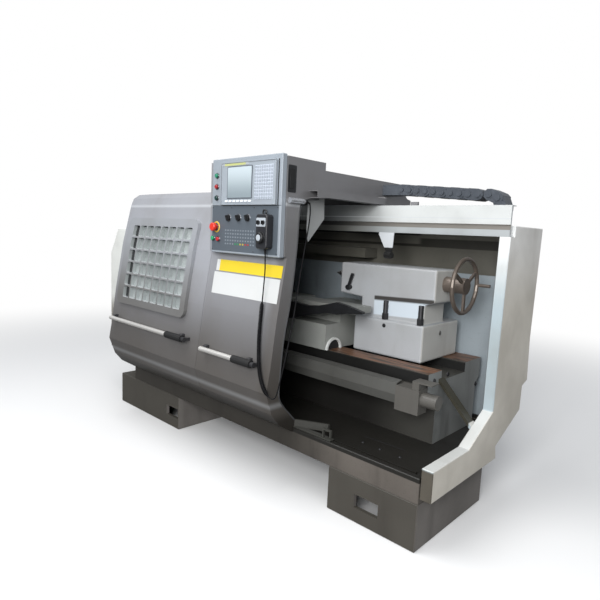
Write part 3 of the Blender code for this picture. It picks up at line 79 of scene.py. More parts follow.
class Sock:
    def __init__(self, nodes, socket):
        self.nodes, self.socket = nodes, socket

    def __add__(self, other):
        return self.nodes.node("Math", {"operation": 'ADD'}, self, other)

    def __sub__(self, other):
        return self.nodes.node("Math", {"operation": 'SUBTRACT'}, self, other)

    def __rsub__(self, other):
        return self.nodes.node("Math", {"operation": 'SUBTRACT'}, other, self)

    def __mul__(self, other):
        return self.nodes.node("Math", {"operation": 'MULTIPLY'}, self, other)

    def __radd__(self, other):
        return self + other

    def __rmul__(self, other):
        return self * other

    def __getitem__(self, axis):
        if not hasattr(self, "parts"):
            self.parts = self.nodes.raw("SeparateXYZ", {}, self)
        return Sock(self.nodes, self.parts.outputs[axis])

    def step(self, low, high):  # 0 below low, 1 above high, smooth between
        return self.nodes.node("MapRange", {"interpolation_type": 'SMOOTHSTEP'}, self, low, high, 0.0, 1.0)

    def over(self, level, soft=0.002):  # 1 above a level
        return self.step(level - soft, level + soft)

    def span(self, low, high, soft=0.001):  # 1 between low and high
        return self.over(low, soft) * (1 - self.over(high, soft))


class Nodes:
    def __init__(self, tree):
        self.tree = tree

    def feed(self, socket, value):  # a link, a value, or None to leave the socket
        if isinstance(value, Sock):
            self.tree.links.new(value.socket, socket)
        elif value is not None:
            socket.default_value = value

    def raw(self, kind, settings, *inputs, **named):
        node = self.tree.nodes.new("ShaderNode" + kind)
        for key, value in settings.items():
            setattr(node, key, value)
        pairs = [*zip(node.inputs, inputs), *((node.inputs[key], value) for key, value in named.items())]
        for socket, value in pairs:
            self.feed(socket, value)
        return node

    def node(self, kind, settings, *inputs, out=0, **named):
        return Sock(self, self.raw(kind, settings, *inputs, **named).outputs[out])

    def mix(self, fac, a, b):
        node = self.raw("Mix", {"data_type": 'RGBA'})
        for index, value in ((0, fac), (6, a), (7, b)):  # the colour sockets of Mix are 6 and 7
            self.feed(node.inputs[index], value)
        return Sock(self, node.outputs[2])


class Mat(Nodes):
    def __init__(self, name):
        self.material = bpy.data.materials.new(name)
        self.material.use_nodes = True
        super().__init__(self.material.node_tree)
        self.shader = self.tree.nodes["Principled BSDF"]
        self.place = self.node("TexCoord", {}, out="Object")

    def stretch(self, x, y, z):
        return self.node("VectorMath", {"operation": 'MULTIPLY'}, self.place, (x, y, z))

    def noise(self, scale, detail=3.0, rough=0.55, where=None):
        return self.node("TexNoise", {}, where or self.place, Scale=scale, Detail=detail, Roughness=rough)

    def along(self, axis):  # the lathe's own x, y or z, from the tray's right front corner
        return self.place[axis] - shift[axis]

    def facing(self, axis):  # how far the surface faces along +x, +y or +z
        if not hasattr(self, "normal"):
            self.normal = self.node("NewGeometry", {}, out="Normal")
        return self.normal[axis]

    def done(self, colour, roughness, metallic=None, bump=None, depth=0.0, strength=0.0, coat=None):
        for name, value in {"Base Color": colour, "Roughness": roughness, "Metallic": metallic,
                            "Coat Weight": coat}.items():
            self.feed(self.shader.inputs[name], value)
        if bump is not None:
            shape = self.node("Bump", {}, Height=bump, Strength=strength, Distance=depth)
            self.feed(self.shader.inputs["Normal"], shape)
        return self.material


wearFacts = {"blotch": (2.3, 4.0), "blotch_band": (0.38, 0.72), "blotch_mix": 0.30,
             "streak": (7.0, 5.0), "streak_run": (1.0, 1.0, 0.22), "streak_band": (0.52, 0.80),
             "speck": (160.0, 2.0), "speck_band": (0.62, 0.74), "speck_share": 0.5}


def worn(m, colour, dark, wear=0.25, facts=wearFacts):  # blotches, runs and small scuffs over a paint
    blotch = m.noise(*facts["blotch"]).step(*facts["blotch_band"])
    streak = m.noise(*facts["streak"], where=m.stretch(*facts["streak_run"])).step(*facts["streak_band"])
    specks = m.noise(*facts["speck"]).step(*facts["speck_band"])
    tone = m.mix(blotch * facts["blotch_mix"], colour, dark)
    tone = m.mix(streak * wear, tone, dark)
    return m.mix(specks * (wear * facts["speck_share"]), tone, dark)


peelFacts = {"gloss": (11.0, 4.0), "gloss_swing": 0.22, "gloss_drop": 0.10, "peel": (420.0, 2.0),
             "depth": 0.0004, "strength": 0.12}


def peeled(m, tone, roughness=0.42, metallic=0.0, coat=0.0, facts=peelFacts):  # faint orange peel
    gloss = m.noise(*facts["gloss"]) * facts["gloss_swing"] + (roughness - facts["gloss_drop"])
    return m.done(tone, gloss, metallic, m.noise(*facts["peel"]), facts["depth"], facts["strength"], coat)


def paint(name, colour, dark, wear=0.25, **finish):
    m = Mat(name)
    return peeled(m, worn(m, colour, dark, wear), **finish)


metalFacts = {"lines": (30.0, 3.0), "line_mix": 0.35, "oil": (9.0, 4.0), "oil_band": (0.45, 0.75),
              "oil_mix": 0.5, "gloss_swing": 0.25, "gloss_drop": 0.08, "metallic": 0.95, "depth": 0.0003,
              "strength": 0.15}


def metal(name, colour, roughness=0.3, brush=(1.0, 40.0, 40.0), dark=0.5, facts=metalFacts):
    m = Mat(name)
    lines = m.noise(*facts["lines"], where=m.stretch(*brush))  # fine tool lines
    oil = m.noise(*facts["oil"]).step(*facts["oil_band"])  # oily patches
    shade = tuple(c * dark for c in colour[:3]) + (1,)
    tone = m.mix(oil * facts["oil_mix"], m.mix(lines * facts["line_mix"], colour, shade), shade)
    gloss = lines * facts["gloss_swing"] + (roughness - facts["gloss_drop"])
    return m.done(tone, gloss, facts["metallic"], lines, facts["depth"], facts["strength"])


plasticFacts = {"spots": (25.0, 4.0), "spot_band": (0.45, 0.8), "spot_mix": 0.35, "lighter": (1.6, 0.01),
                "gloss": (40.0, 3.0), "gloss_swing": 0.2, "gloss_drop": 0.1, "detail": 2.0, "depth": 0.0003,
                "strength": 0.2}


def plastic(name, colour, roughness=0.5, grain=500.0, facts=plasticFacts):
    m = Mat(name)
    spots = m.noise(*facts["spots"]).step(*facts["spot_band"])
    times, plus = facts["lighter"]
    lighter = tuple(min(1, c * times + plus) for c in colour[:3]) + (1,)
    gloss = m.noise(*facts["gloss"]) * facts["gloss_swing"] + (roughness - facts["gloss_drop"])
    tone = m.mix(spots * facts["spot_mix"], colour, lighter)
    return m.done(tone, gloss, 0.0, m.noise(grain, facts["detail"]), facts["depth"], facts["strength"])


def put(node, material):
    item = cad[node]
    item.data.materials.clear()
    item.data.materials.append(material)


# Meshes for the pieces
sharpAngle = 0.6  # radians; edges that turn more stay sharp, and are the ones that a bevel rounds
edgeSegments = 2


def link(name, data, material, body, smooth=False, bevel=0.0):
    piece = bpy.data.objects.new(name, data)
    bpy.context.scene.collection.objects.link(piece)
    data.materials.append(material)
    if smooth:
        data.shade_smooth()
        data.set_sharp_from_angle(angle=sharpAngle)
    if bevel:
        edge = piece.modifiers.new("Edge", 'BEVEL')
        edge.width, edge.segments = bevel, edgeSegments
        edge.limit_method, edge.angle_limit = 'ANGLE', sharpAngle
    if body:
        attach(piece, body)
    return piece


def build(fill):
    mesh = bpy.data.meshes.new("piece")
    bm = bmesh.new()
    fill(bm)
    bmesh.ops.recalc_face_normals(bm, faces=bm.faces)
    bm.to_mesh(mesh)
    bm.free()
    return mesh


def axisPoint(axis, u, v, w):
    return at(*{'x': (w, u, v), 'y': (u, w, v), 'z': (u, v, w)}[axis])


def prisms(rows):  # rows of (outline, axis, start, end)
    def fill(bm):
        for outline, axis, start, end in rows:
            low = [bm.verts.new(axisPoint(axis, u, v, start)) for u, v in outline]
            high = [bm.verts.new(axisPoint(axis, u, v, end)) for u, v in outline]
            bm.faces.new(low)
            bm.faces.new(high)
            for i in range(len(outline)):
                j = (i + 1) % len(outline)
                bm.faces.new((low[i], low[j], high[j], high[i]))
    return build(fill)


def oblong(u0, u1, v0, v1, radius=0.0, steps=4):
    if radius <= 0:
        return [(u0, v0), (u1, v0), (u1, v1), (u0, v1)]
    rows = ((u1 - radius, v1 - radius, 0), (u0 + radius, v1 - radius, 1), (u0 + radius, v0 + radius, 2),
            (u1 - radius, v0 + radius, 3))
    turns = [(u, v, (quarter + i / steps) * math.pi / 2) for u, v, quarter in rows for i in range(steps + 1)]
    return [(u + radius * math.cos(a), v + radius * math.sin(a)) for u, v, a in turns]


def disc(u, v, radius, sides):
    turns = [2 * math.pi * i / sides for i in range(sides)]
    return [(u + radius * math.cos(a), v + radius * math.sin(a)) for a in turns]


# Rows of (profile of radius and height, centre, axis). A profile off the axis closes on itself.
def turnings(rows, sides):
    def fill(bm):
        for profile, centre, axis in rows:
            turn = Vector((0, 0, 1)).rotation_difference(Vector(axis)).to_matrix()
            rings = []
            for r, h in profile:
                count = sides if r > 0 else 1
                rings.append([bm.verts.new(at(*centre) + turn @ Vector((r * math.cos(a), r * math.sin(a), h)))
                              for a in (2 * math.pi * i / count for i in range(count))])
            closed = rings[1:] + rings[:1] if profile[0][0] > 0 and profile[-1][0] > 0 else rings[1:]
            for a, b in zip(rings, closed):
                for i in range(sides):
                    j = (i + 1) % sides
                    corners = dict.fromkeys((a[i % len(a)], a[j % len(a)], b[j % len(b)], b[i % len(b)]))
                    if len(corners) > 2:
                        bm.faces.new(corners)
    return build(fill)


toFront, toRight, toLeft, toTop = (0, -1, 0), (1, 0, 0), (-1, 0, 0), (0, 0, 1)


def ringRow(centre, axis, inner, outer, height):  # a collar, the outer third of its face bevelled
    edge = (outer - inner) / 3
    profile = [(inner, 0), (outer, 0), (outer, height - edge), (outer - edge, height), (inner, height)]
    return profile, centre, axis


def bolts(name, centres, axis, head, material, body, crown=(0.6, 0.9), shoulder=0.4):  # domed heads
    radius, height, sides = head
    dome = [(0, height), (radius * crown[0], height * crown[1]), (radius, height * shoulder)]
    rows = [([*dome, (radius, 0), (0, 0)], centre, axis) for centre in centres]
    link(name, turnings(rows, sides), material, body, smooth=True)


def smoothRoute(points, steps):  # a smooth curve through the points
    p = [2 * points[0] - points[1], *points, 2 * points[-1] - points[-2]]
    line = [(2 * b + (c - a) * t + (2 * a - 5 * b + 4 * c - d) * t ** 2
             + (3 * b - a - 3 * c + d) * t ** 3) / 2
            for a, b, c, d in zip(p, p[1:], p[2:], p[3:]) for t in (i / steps for i in range(steps))]
    return [*line, points[-1]]


def carried(line):  # along, side and third direction at each point, without twist
    side, rows = None, []
    for i in range(len(line)):
        along = (line[min(i + 1, len(line) - 1)] - line[max(i - 1, 0)]).normalized()
        side = (side - along * side.dot(along)).normalized() if side else along.orthogonal().normalized()
        rows.append((along, side, along.cross(side)))
    return rows


def sweep(line, radii, sides=10):
    def fill(bm):
        rings = [[bm.verts.new(point + radius * (math.cos(a) * side + math.sin(a) * third))
                  for a in (2 * math.pi * k / sides for k in range(sides))]
                 for point, radius, (along, side, third) in zip(line, radii, carried(line))]
        for a, b in zip(rings, rings[1:]):
            for k in range(sides):
                j = (k + 1) % sides
                bm.faces.new((a[k], a[j], b[j], b[k]))
        bm.faces.new(rings[0])
        bm.faces.new(rings[-1])
    return build(fill)


# Pendant's curly cord
cordFacts = {"tail": 0.0030, "wire": 0.0029, "curl": 0.0072, "pitch": 0.0064, "turn_points": 14,
             "curl_from": 4, "curl_to": 11, "ease": 0.022, "tail_step": 0.006, "length": 4.37,
             "diameter": 0.0058, "sides": 8, "route_steps": 12, "colour": rgb(15, 15, 17), "rough": 0.6,
             "grain": 900.0, "sheen": 0.15}
cordRoute = ((-0.792, -0.158, 1.2015), (-0.789, -0.158, 1.150), (-0.788, -0.158, 1.090),
             (-0.793, -0.158, 1.026), (-0.798, -0.159, 0.960), (-0.801, -0.163, 0.880),
             (-0.799, -0.170, 0.800), (-0.788, -0.180, 0.728), (-0.772, -0.190, 0.659),
             (-0.748, -0.199, 0.605), (-0.716, -0.205, 0.560), (-0.684, -0.205, 0.532),
             (-0.662, -0.197, 0.524), (-0.655, -0.183, 0.540), (-0.657, -0.164, 0.590),
             (-0.656, -0.142, 0.670), (-0.658, -0.115, 0.770), (-0.668, -0.078, 0.889),
             (-0.684, -0.040, 1.017), (-0.695, -0.008, 1.134), (-0.698, 0.014, 1.230),
             (-0.697, 0.030, 1.320), (-0.697, 0.036, 1.385), (-0.698, 0.029, 1.424),
             (-0.700, 0.0046, 1.430))


def curlyLine(facts, route):  # straight tails, and a helix between two of the route's points
    steps = facts["route_steps"]
    fine = smoothRoute([at(*p) for p in route], steps)
    run = np.concatenate(([0], np.cumsum([(b - a).length for a, b in zip(fine, fine[1:])])))
    start, end = float(run[facts["curl_from"] * steps]), float(run[facts["curl_to"] * steps])
    places = np.concatenate((np.arange(0, start, facts["tail_step"]),
                             np.arange(start, end, facts["pitch"] / facts["turn_points"]),
                             np.arange(end, run[-1], facts["tail_step"]), [run[-1]]))
    middle = [Vector([np.interp(s, run, [p[k] for p in fine]) for k in range(3)]) for s in places]
    line, radii = [], []
    for s, point, (along, side, third) in zip(places.tolist(), middle, carried(middle)):
        swell = max(0, min(1, (s - start) / facts["ease"], (end - s) / facts["ease"]))
        turn = 2 * math.pi * (s - start) / facts["pitch"]
        line.append(point + swell * facts["curl"] * (math.cos(turn) * side + math.sin(turn) * third))
        radii.append(facts["tail"] + (facts["wire"] - facts["tail"]) * swell)
    return line, radii


cordLine, cordRadii = curlyLine(cordFacts, cordRoute)
cordMat = plastic("cord_sheath", cordFacts["colour"], cordFacts["rough"], cordFacts["grain"])
cordMat.node_tree.nodes["Principled BSDF"].inputs["Specular IOR Level"].default_value = cordFacts["sheen"]
cord = link("pendant_lead", sweep(cordLine, cordRadii, cordFacts["sides"]), cordMat, "control_door",
            smooth=True)
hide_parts("pendant_cord")
reliefFacts = {"length": 0.026, "wide": 0.0062, "narrow": 0.0036, "ribs": 5, "groove": 0.0009,
               "rib": (0.35, 0.95), "rib_edge": 0.0002, "sides": 16}


def relief(facts, start, towards):  # a ribbed, tapered sleeve on the cord where it leaves a housing
    rows = [(0, 0), (facts["wide"], 0)]
    for i in range(facts["ribs"]):
        share = (i + 0.5) / facts["ribs"]
        radius = facts["wide"] + (facts["narrow"] - facts["wide"]) * share
        low, high = ((i + k) * facts["length"] / facts["ribs"] for k in facts["rib"])
        rows += [(radius, low), (radius, high), (radius - facts["groove"], high),
                 (radius - facts["groove"], high + facts["rib_edge"])]
    rows.append((0, facts["length"]))
    return rows, start, Vector(towards) - Vector(start)


reliefRows = [relief(reliefFacts, *cordRoute[:2]), relief(reliefFacts, cordRoute[-1], cordRoute[-2])]
reliefs = link("cord_reliefs", turnings(reliefRows, reliefFacts["sides"]), cordMat, "control_door",
               smooth=True)
at(*cordRoute[-1])
cordFacts["length"]
cordFacts["diameter"]
print("cord", round(sum((b - a).length for a, b in zip(cordLine, cordLine[1:])), 3))

# Floor and light
floorFacts = {"fade": (2.2, 6.0), "bounce": (0.16, 0.16, 0.16, 1), "seen": (0.86, 0.86, 0.86, 1),
              "rough": 0.9, "size": 60, "z": -0.001, "glow": (1, 1, 1, 1), "glow_strength": 1.0}
floorMat = Mat("floor")
seen = floorMat.node("LightPath", {}, out="Is Camera Ray")
far = floorMat.node("VectorMath", {"operation": 'LENGTH'}, floorMat.place, out=1).step(*floorFacts["fade"])
floorMat.done(floorMat.mix(seen, floorFacts["bounce"], floorFacts["seen"]), floorFacts["rough"])
glow = floorMat.node("Emission", {}, floorFacts["glow"], floorFacts["glow_strength"])
fade = floorMat.node("MixShader", {}, far * seen, Sock(floorMat, floorMat.shader.outputs[0]), glow)
floorMat.feed(floorMat.tree.nodes["Material Output"].inputs[0], fade)
floor = bpy.data.objects.new("floor", build(lambda bm: bmesh.ops.create_grid(
    bm, x_segments=1, y_segments=1, size=floorFacts["size"])))
floor.location.z = floorFacts["z"]
floor.data.materials.append(floorMat.material)
bpy.context.scene.collection.objects.link(floor)

skyFacts = {"light": (0.93, 0.96, 1.0, 1), "light_strength": 0.50, "seen": (1, 1, 1, 1), "seen_strength": 1.0}
world = bpy.data.worlds.new("world")
bpy.context.scene.world = world
world.use_nodes = True
world.node_tree.nodes.clear()
sky = Nodes(world.node_tree)
skyLight = sky.node("Background", {}, skyFacts["light"], skyFacts["light_strength"])
skySeen = sky.node("Background", {}, skyFacts["seen"], skyFacts["seen_strength"])
chosen = sky.node("MixShader", {}, sky.node("LightPath", {}, out="Is Camera Ray"), skyLight, skySeen)
sky.raw("OutputWorld", {}, chosen)


def lamp(name, place, target, size, power):
    light = bpy.data.lights.new(name, 'AREA')
    light.size, light.energy = size, power
    item = bpy.data.objects.new(name, light)
    bpy.context.scene.collection.objects.link(item)
    item.location = place
    item.rotation_euler = (Vector(target) - Vector(place)).to_track_quat('-Z', 'Y').to_euler()


lamp("roof_light", place=(-0.4, -1.9, 4.4), target=(-0.1, 0, 0.8), size=3.2, power=120)
lamp("door_light", place=(2.6, -4.2, 2.4), target=(0.4, 0, 0.9), size=2.0, power=210)
print("stage")

# Paints and finishes on the CAD pieces. A pair of numbers says where a tone starts and ends, in metres along
# the lathe, or how far a surface has to face the named way.
# painted shade: the darkening by height, right of the seam, toward the pillar and under the bottom; the
# bright fold colour is a painted highlight
doorTones = {"new": rgb(164, 166, 172), "worn": rgb(122, 116, 108), "wear": 0.2, "low": rgb(80, 75, 69),
             "drop": (0.52, 1.12), "drop_mix": 0.85, "seam": (-1.30, -1.27), "seam_mix": 0.2,
             "pillar": (-0.80, -0.74), "pillar_mix": 0.5, "shade": rgb(50, 47, 43), "under": (0.36, 0.44),
             "rubbed": rgb(226, 230, 234), "upper_fold": (1.404, 1.418, 0.007), "upper_mix": 0.45,
             "lower_fold": (0.450, 0.474, 0.012), "lower_mix": 0.22, "rough": 0.38, "metallic": 0.25,
             "coat": 0.25}


def doorPaint(name, tones):  # worn silver paint with painted shade: darker down the skin, on the control door right of the seam, toward the pillar and along the bottom; painted highlights along the folds
    m = Mat(name)
    x, z = m.along(0), m.along(2)
    # painted shade: darker down the skin
    tone = m.mix((1 - z.step(*tones["drop"])) * tones["drop_mix"],
                 worn(m, tones["new"], tones["worn"], tones["wear"]), tones["low"])
    # painted shade on the control door right of the seam and toward the pillar
    for part in ("seam", "pillar"):
        tone = m.mix(x.step(*tones[part]) * tones[part + "_mix"], tone, tones["low"])
    # painted shade along the bottom of the skin
    tone = m.mix(1 - z.step(*tones["under"]), tone, tones["shade"])
    # painted highlights along the upper and lower folds
    upper, lower = (z.span(*tones[part + "_fold"]) * tones[part + "_mix"] for part in ("upper", "lower"))
    tone = m.mix(upper + lower, tone, tones["rubbed"])
    return peeled(m, tone, tones["rough"], tones["metallic"], tones["coat"])


silver = doorPaint("silver_paint", doorTones)
# low is painted shade toward the bottom; the pale ledge colour is a painted highlight on up-facing faces
grilleTones = {"bar": rgb(156, 159, 164), "worn": rgb(118, 114, 106), "wear": 0.2, "low": rgb(96, 93, 88),
               "drop": (0.80, 1.20), "drop_mix": 0.7, "jamb": rgb(168, 174, 174), "ledge": rgb(188, 192, 194),
               "x": (-2.14, -1.45), "z": (0.80, 1.30), "faces": (0.6, 0.8), "rough": 0.38, "metallic": 0.2}


def grillePaint(name, tones):  # darker toward the bottom as painted shade; openings' left jambs glass-grey, their up-facing ledges pale as a painted highlight
    m = Mat(name)
    z = m.along(2)
    inside = m.along(0).span(*tones["x"]) * z.span(*tones["z"])
    # painted shade: darker toward the bottom
    tone = m.mix((1 - z.step(*tones["drop"])) * tones["drop_mix"],
                 worn(m, tones["bar"], tones["worn"], tones["wear"]), tones["low"])
    tone = m.mix(m.facing(0).step(*tones["faces"]) * inside, tone, tones["jamb"])
    # painted highlight on the up-facing ledges
    tone = m.mix(m.facing(2).step(*tones["faces"]) * inside, tone, tones["ledge"])
    return peeled(m, tone, tones["rough"], tones["metallic"])


grilleMat = grillePaint("grille_paint", grilleTones)
barTones = {"steel": rgb(246, 244, 240), "shade": rgb(206, 202, 196), "shade_mix": 0.4,
            "post": rgb(44, 44, 46), "left": (-1.395, -1.30), "right": (-0.817, -0.70),
            "lines": (30.0, 3.0), "brush": (1.0, 20.0, 20.0), "gloss_swing": 0.2, "gloss": 0.28,
            "metallic": 0.75, "post_drop": 0.7, "depth": 0.0003, "strength": 0.15}


def barPaint(name, tones):  # bright bars whose post at the grip's end is black
    m = Mat(name)
    ends = m.along(0).span(*tones["left"]) + m.along(0).span(*tones["right"])
    lines = m.noise(*tones["lines"], where=m.stretch(*tones["brush"]))
    bright = m.mix(lines * tones["shade_mix"], tones["steel"], tones["shade"])
    return m.done(m.mix(ends, bright, tones["post"]), lines * tones["gloss_swing"] + tones["gloss"],
                  tones["metallic"] - ends * tones["post_drop"], lines, tones["depth"], tones["strength"])


panelTones = {"frame": rgb(146, 154, 162), "dark": rgb(112, 116, 120), "wear": 0.12,
              "slate": rgb(84, 92, 100), "slate_dark": rgb(70, 76, 82), "slate_wear": 0.1,
              "gap": rgb(40, 42, 44), "faces_front": (-0.8, -0.6), "x": (-1.226, -0.733),
              "z": (1.176, 1.403), "line": (1.4025, 1.4055, 0.0004), "slot_x": (-0.7445, -0.7365, 0.0004),
              "slot_z": (1.405, 1.612), "rough": 0.4}


def cabinetPaint(name, tones):  # a slate panel below the split line, on the front only
    m = Mat(name)
    x, z, front = m.along(0), m.along(2), 1 - m.facing(1).step(*tones["faces_front"])
    panel = x.span(*tones["x"]) * z.span(*tones["z"]) * front
    tone = m.mix(panel, worn(m, tones["frame"], tones["dark"], tones["wear"]),
                 worn(m, tones["slate"], tones["slate_dark"], tones["slate_wear"]))
    split = (z.span(*tones["line"]) + x.span(*tones["slot_x"]) * z.span(*tones["slot_z"])) * front
    return peeled(m, m.mix(split, tone, tones["gap"]), tones["rough"])


# painted light and shade: face, recess and lip are the shaded tones on the left, their pale copies the lit
# tones toward the open end, and the fold band a painted highlight
beamTones = {"top": rgb(196, 200, 202), "face": rgb(132, 136, 136), "pale_face": rgb(202, 205, 204),
             "recess": rgb(50, 50, 48), "pale_recess": rgb(122, 118, 112), "lip": rgb(102, 103, 98),
             "pale_lip": rgb(168, 173, 175), "dark": rgb(96, 94, 88), "wear": 0.15, "pale_x": (-0.95, -0.45),
             "fold": (1.387, 1.391), "under": 1.363, "under_soft": 0.001, "lip_z": (1.338, 1.340),
             "faces_front": (-0.7, -0.5)}


def beamPaint(name, tones):  # folded sheet in painted light and shade: its front bands shaded toward the left and lit toward the open end, the recess band between face and lip dark as painted shade, and a painted highlight along the fold
    m = Mat(name)
    z, near = m.along(2), m.along(0).step(*tones["pale_x"])
    front = 1 - m.facing(1).step(*tones["faces_front"])
    # shaded and lit copies of each front band, blended toward the open end
    lip, recess, face = (m.mix(near, tones[k], tones["pale_" + k]) for k in ("lip", "recess", "face"))
    lower = m.mix(z.step(*tones["lip_z"]), lip, recess)
    face = m.mix(z.over(tones["under"], tones["under_soft"]), lower, face)
    # painted highlight along the fold
    tone = m.mix(front, tones["top"], m.mix(z.span(*tones["fold"]), face, tones["top"]))
    return peeled(m, worn(m, tone, tones["dark"], tones["wear"]))


# painted light and shade by the way faces point: lip and inner are shaded tones, top and high lit ones
endTones = {"lip": rgb(170, 184, 190), "outer": rgb(226, 221, 210), "strap": rgb(52, 50, 40),
            "inner": rgb(70, 70, 66), "top": rgb(206, 208, 206), "high": rgb(250, 250, 248),
            "high_z": (0.95, 1.35), "high_mix": 0.8, "foot": rgb(66, 63, 57), "foot_z": (0.362, 0.372),
            "strap_x": -0.004, "dark": rgb(130, 122, 108), "wear": 0.2, "faces_front": (-0.7, -0.4),
            "faces_left": (-0.8, -0.5), "faces_up": (0.5, 0.8)}


def endPaint(name, tones):  # off-white outside and olive strap; the blue-grey front lip and the dark inner faces are painted shade, the pale top and the bright upper part painted light, and the front darker at its foot
    m = Mat(name)
    z, lip = m.along(2), 1 - m.facing(1).step(*tones["faces_front"])
    inner = 1 - m.facing(0).step(*tones["faces_left"])
    # painted shade: inner faces dark, front faces blue-grey
    tone = m.mix(inner, m.mix(lip, tones["outer"], tones["lip"]), tones["inner"])
    # painted light on up-facing faces
    tone = m.mix(m.facing(2).step(*tones["faces_up"]), tone, tones["top"])
    # painted highlight over the upper part
    tone = m.mix(z.step(*tones["high_z"]) * (1 - inner) * tones["high_mix"], tone, tones["high"])
    tone = m.mix(lip * (1 - z.step(*tones["foot_z"])), tone, tones["foot"])
    strap = 1 - m.along(0).over(tones["strap_x"])
    return peeled(m, m.mix(strap, worn(m, tone, tones["dark"], tones["wear"]), tones["strap"]))


# end is painted light on the right end face; the dark tone for the low front wall is painted shade
bedTones = {"iron": rgb(70, 69, 65), "dark": rgb(50, 47, 42), "wear": 0.5, "black": rgb(30, 30, 29),
            "band": (0.600, 0.656), "end": rgb(150, 153, 152), "oily": rgb(34, 33, 31),
            "oily_z": (0.50, 0.60), "oily_x": (-0.60, -0.25), "rust": rgb(128, 88, 62),
            "rust_dark": rgb(62, 54, 46), "way_z": (0.64, 0.65), "streaks": (14.0, 5.0),
            "streak_run": (0.4, 4.0, 1.0), "streak_band": (0.42, 0.62), "gloss_swing": 0.3, "gloss": 0.28,
            "metallic": 0.25, "grain": (260.0, 3.0), "depth": 0.0005, "strength": 0.25,
            "faces_up": (0.7, 0.9), "faces_front": (-0.8, -0.6), "faces_right": (0.7, 0.9)}


def bedPaint(name, tones):  # casting with browned ways and a black band along the front way; its end face lighter as painted light, its low front wall darker toward the left as painted shade
    m = Mat(name)
    z, top = m.along(2), m.facing(2).step(*tones["faces_up"])
    front = 1 - m.facing(1).step(*tones["faces_front"])
    # painted light on the end faces
    tone = m.mix(m.facing(0).step(*tones["faces_right"]), tones["iron"], tones["end"])
    tone = m.mix(front * z.span(*tones["band"]), worn(m, tone, tones["dark"], tones["wear"]), tones["black"])
    # painted shade on the low front wall, darker toward the left
    oily = front * (1 - z.step(*tones["oily_z"])) * (1 - m.along(0).step(*tones["oily_x"]))
    tone = m.mix(oily, tone, tones["oily"])
    streaks = m.noise(*tones["streaks"], where=m.stretch(*tones["streak_run"]))
    way = m.mix(streaks.step(*tones["streak_band"]), tones["rust"], tones["rust_dark"])
    tone = m.mix(top * z.step(*tones["way_z"]), tone, way)
    return m.done(tone, streaks * tones["gloss_swing"] + tones["gloss"], tones["metallic"],
                  m.noise(*tones["grain"]), tones["depth"], tones["strength"])


# the dark top and olive-grey upper bands are painted shade under the roof
guardTones = {"top": rgb(44, 42, 36), "upper": rgb(96, 94, 86), "middle": rgb(92, 90, 82),
              "low": rgb(158, 168, 174), "dark": rgb(34, 33, 28), "wear": 0.45, "top_z": 1.235,
              "middle_z": 1.10, "upper_z": 1.285, "strip": (1.250, 1.300), "join": (-0.64, -0.60),
              "rough": 0.5}


def guardPaint(name, tones):  # splashed rear sheets in bands: a blue-grey lower sheet under olive-grey bands and a dark top band, which are painted shade under the roof
    m = Mat(name)
    z, right = m.along(2), m.along(0).step(*tones["join"])
    tone = m.mix(z.over(tones["middle_z"]), tones["low"], tones["middle"])
    # painted shade along the top, under the roof
    tone = m.mix(z.over(tones["top_z"]), tone, tones["top"])
    band = right * z.over(tones["upper_z"]) + (1 - right) * z.span(*tones["strip"])
    return peeled(m, worn(m, m.mix(band, tone, tones["upper"]), tones["dark"], tones["wear"]), tones["rough"])


# end is painted light on the right end faces; the pocket is only painted: its pale back and a painted shadow
# under its top edge
tailTones = {"paint": rgb(168, 171, 174), "end": rgb(196, 196, 192), "dark": rgb(122, 116, 108),
             "wear": 0.3, "recess": rgb(198, 208, 216), "shade": rgb(62, 60, 58),
             "recess_x": (-0.622, -0.262), "recess_z": (0.866, 0.968), "recess_soft": 0.004,
             "shade_z": 0.945, "shade_soft": 0.006, "slope": 0.045, "faces_front": (-0.8, -0.5),
             "faces_right": (0.7, 0.9)}


def tailPaint(name, tones):  # grey casting, its right end faces lighter as painted light, with a bolted pocket painted on its front: a pale back under a painted shadow along its top
    m = Mat(name)
    x, front = m.along(0), 1 - m.facing(1).step(*tones["faces_front"])
    level = m.along(2) - (x - tones["recess_x"][0]) * tones["slope"]
    soft = tones["recess_soft"]
    pocket = x.span(*tones["recess_x"], soft) * level.span(*tones["recess_z"], soft) * front
    # painted shadow under the painted pocket's top edge, over its pale back
    inside = m.mix(level.over(tones["shade_z"], tones["shade_soft"]), tones["recess"], tones["shade"])
    # painted light on the right end faces
    tone = m.mix(m.facing(0).step(*tones["faces_right"]), tones["paint"], tones["end"])
    return peeled(m, m.mix(pocket, worn(m, tone, tones["dark"], tones["wear"]), inside))


# near is painted light toward the open end; rim is painted shade
trayTones = {"side": rgb(56, 53, 48), "near": rgb(104, 98, 92), "near_x": (-0.80, -0.25),
             "floor": rgb(34, 33, 30), "dark": rgb(30, 27, 24), "wear": 0.5, "rim": rgb(30, 29, 26),
             "rim_z": 0.302, "rim_soft": 0.001, "faces_up": (0.6, 0.9)}


def trayPaint(name, tones):  # dark floor; the front apron lighter toward the open end as painted light, and the rim dark as painted shade
    m = Mat(name)
    # painted light: the apron lighter toward the open end
    side = m.mix(m.along(0).step(*tones["near_x"]), tones["side"], tones["near"])
    tone = m.mix(m.facing(2).step(*tones["faces_up"]), side, tones["floor"])
    # painted shade along the rim
    tone = m.mix(m.along(2).over(tones["rim_z"], tones["rim_soft"]), tone, tones["rim"])
    return peeled(m, worn(m, tone, tones["dark"], tones["wear"]))


footTones = {"front": rgb(74, 71, 65), "end": rgb(122, 118, 114), "dark": rgb(52, 48, 44), "wear": 0.4,
             "faces_right": (0.6, 0.9), "rough": 0.5}


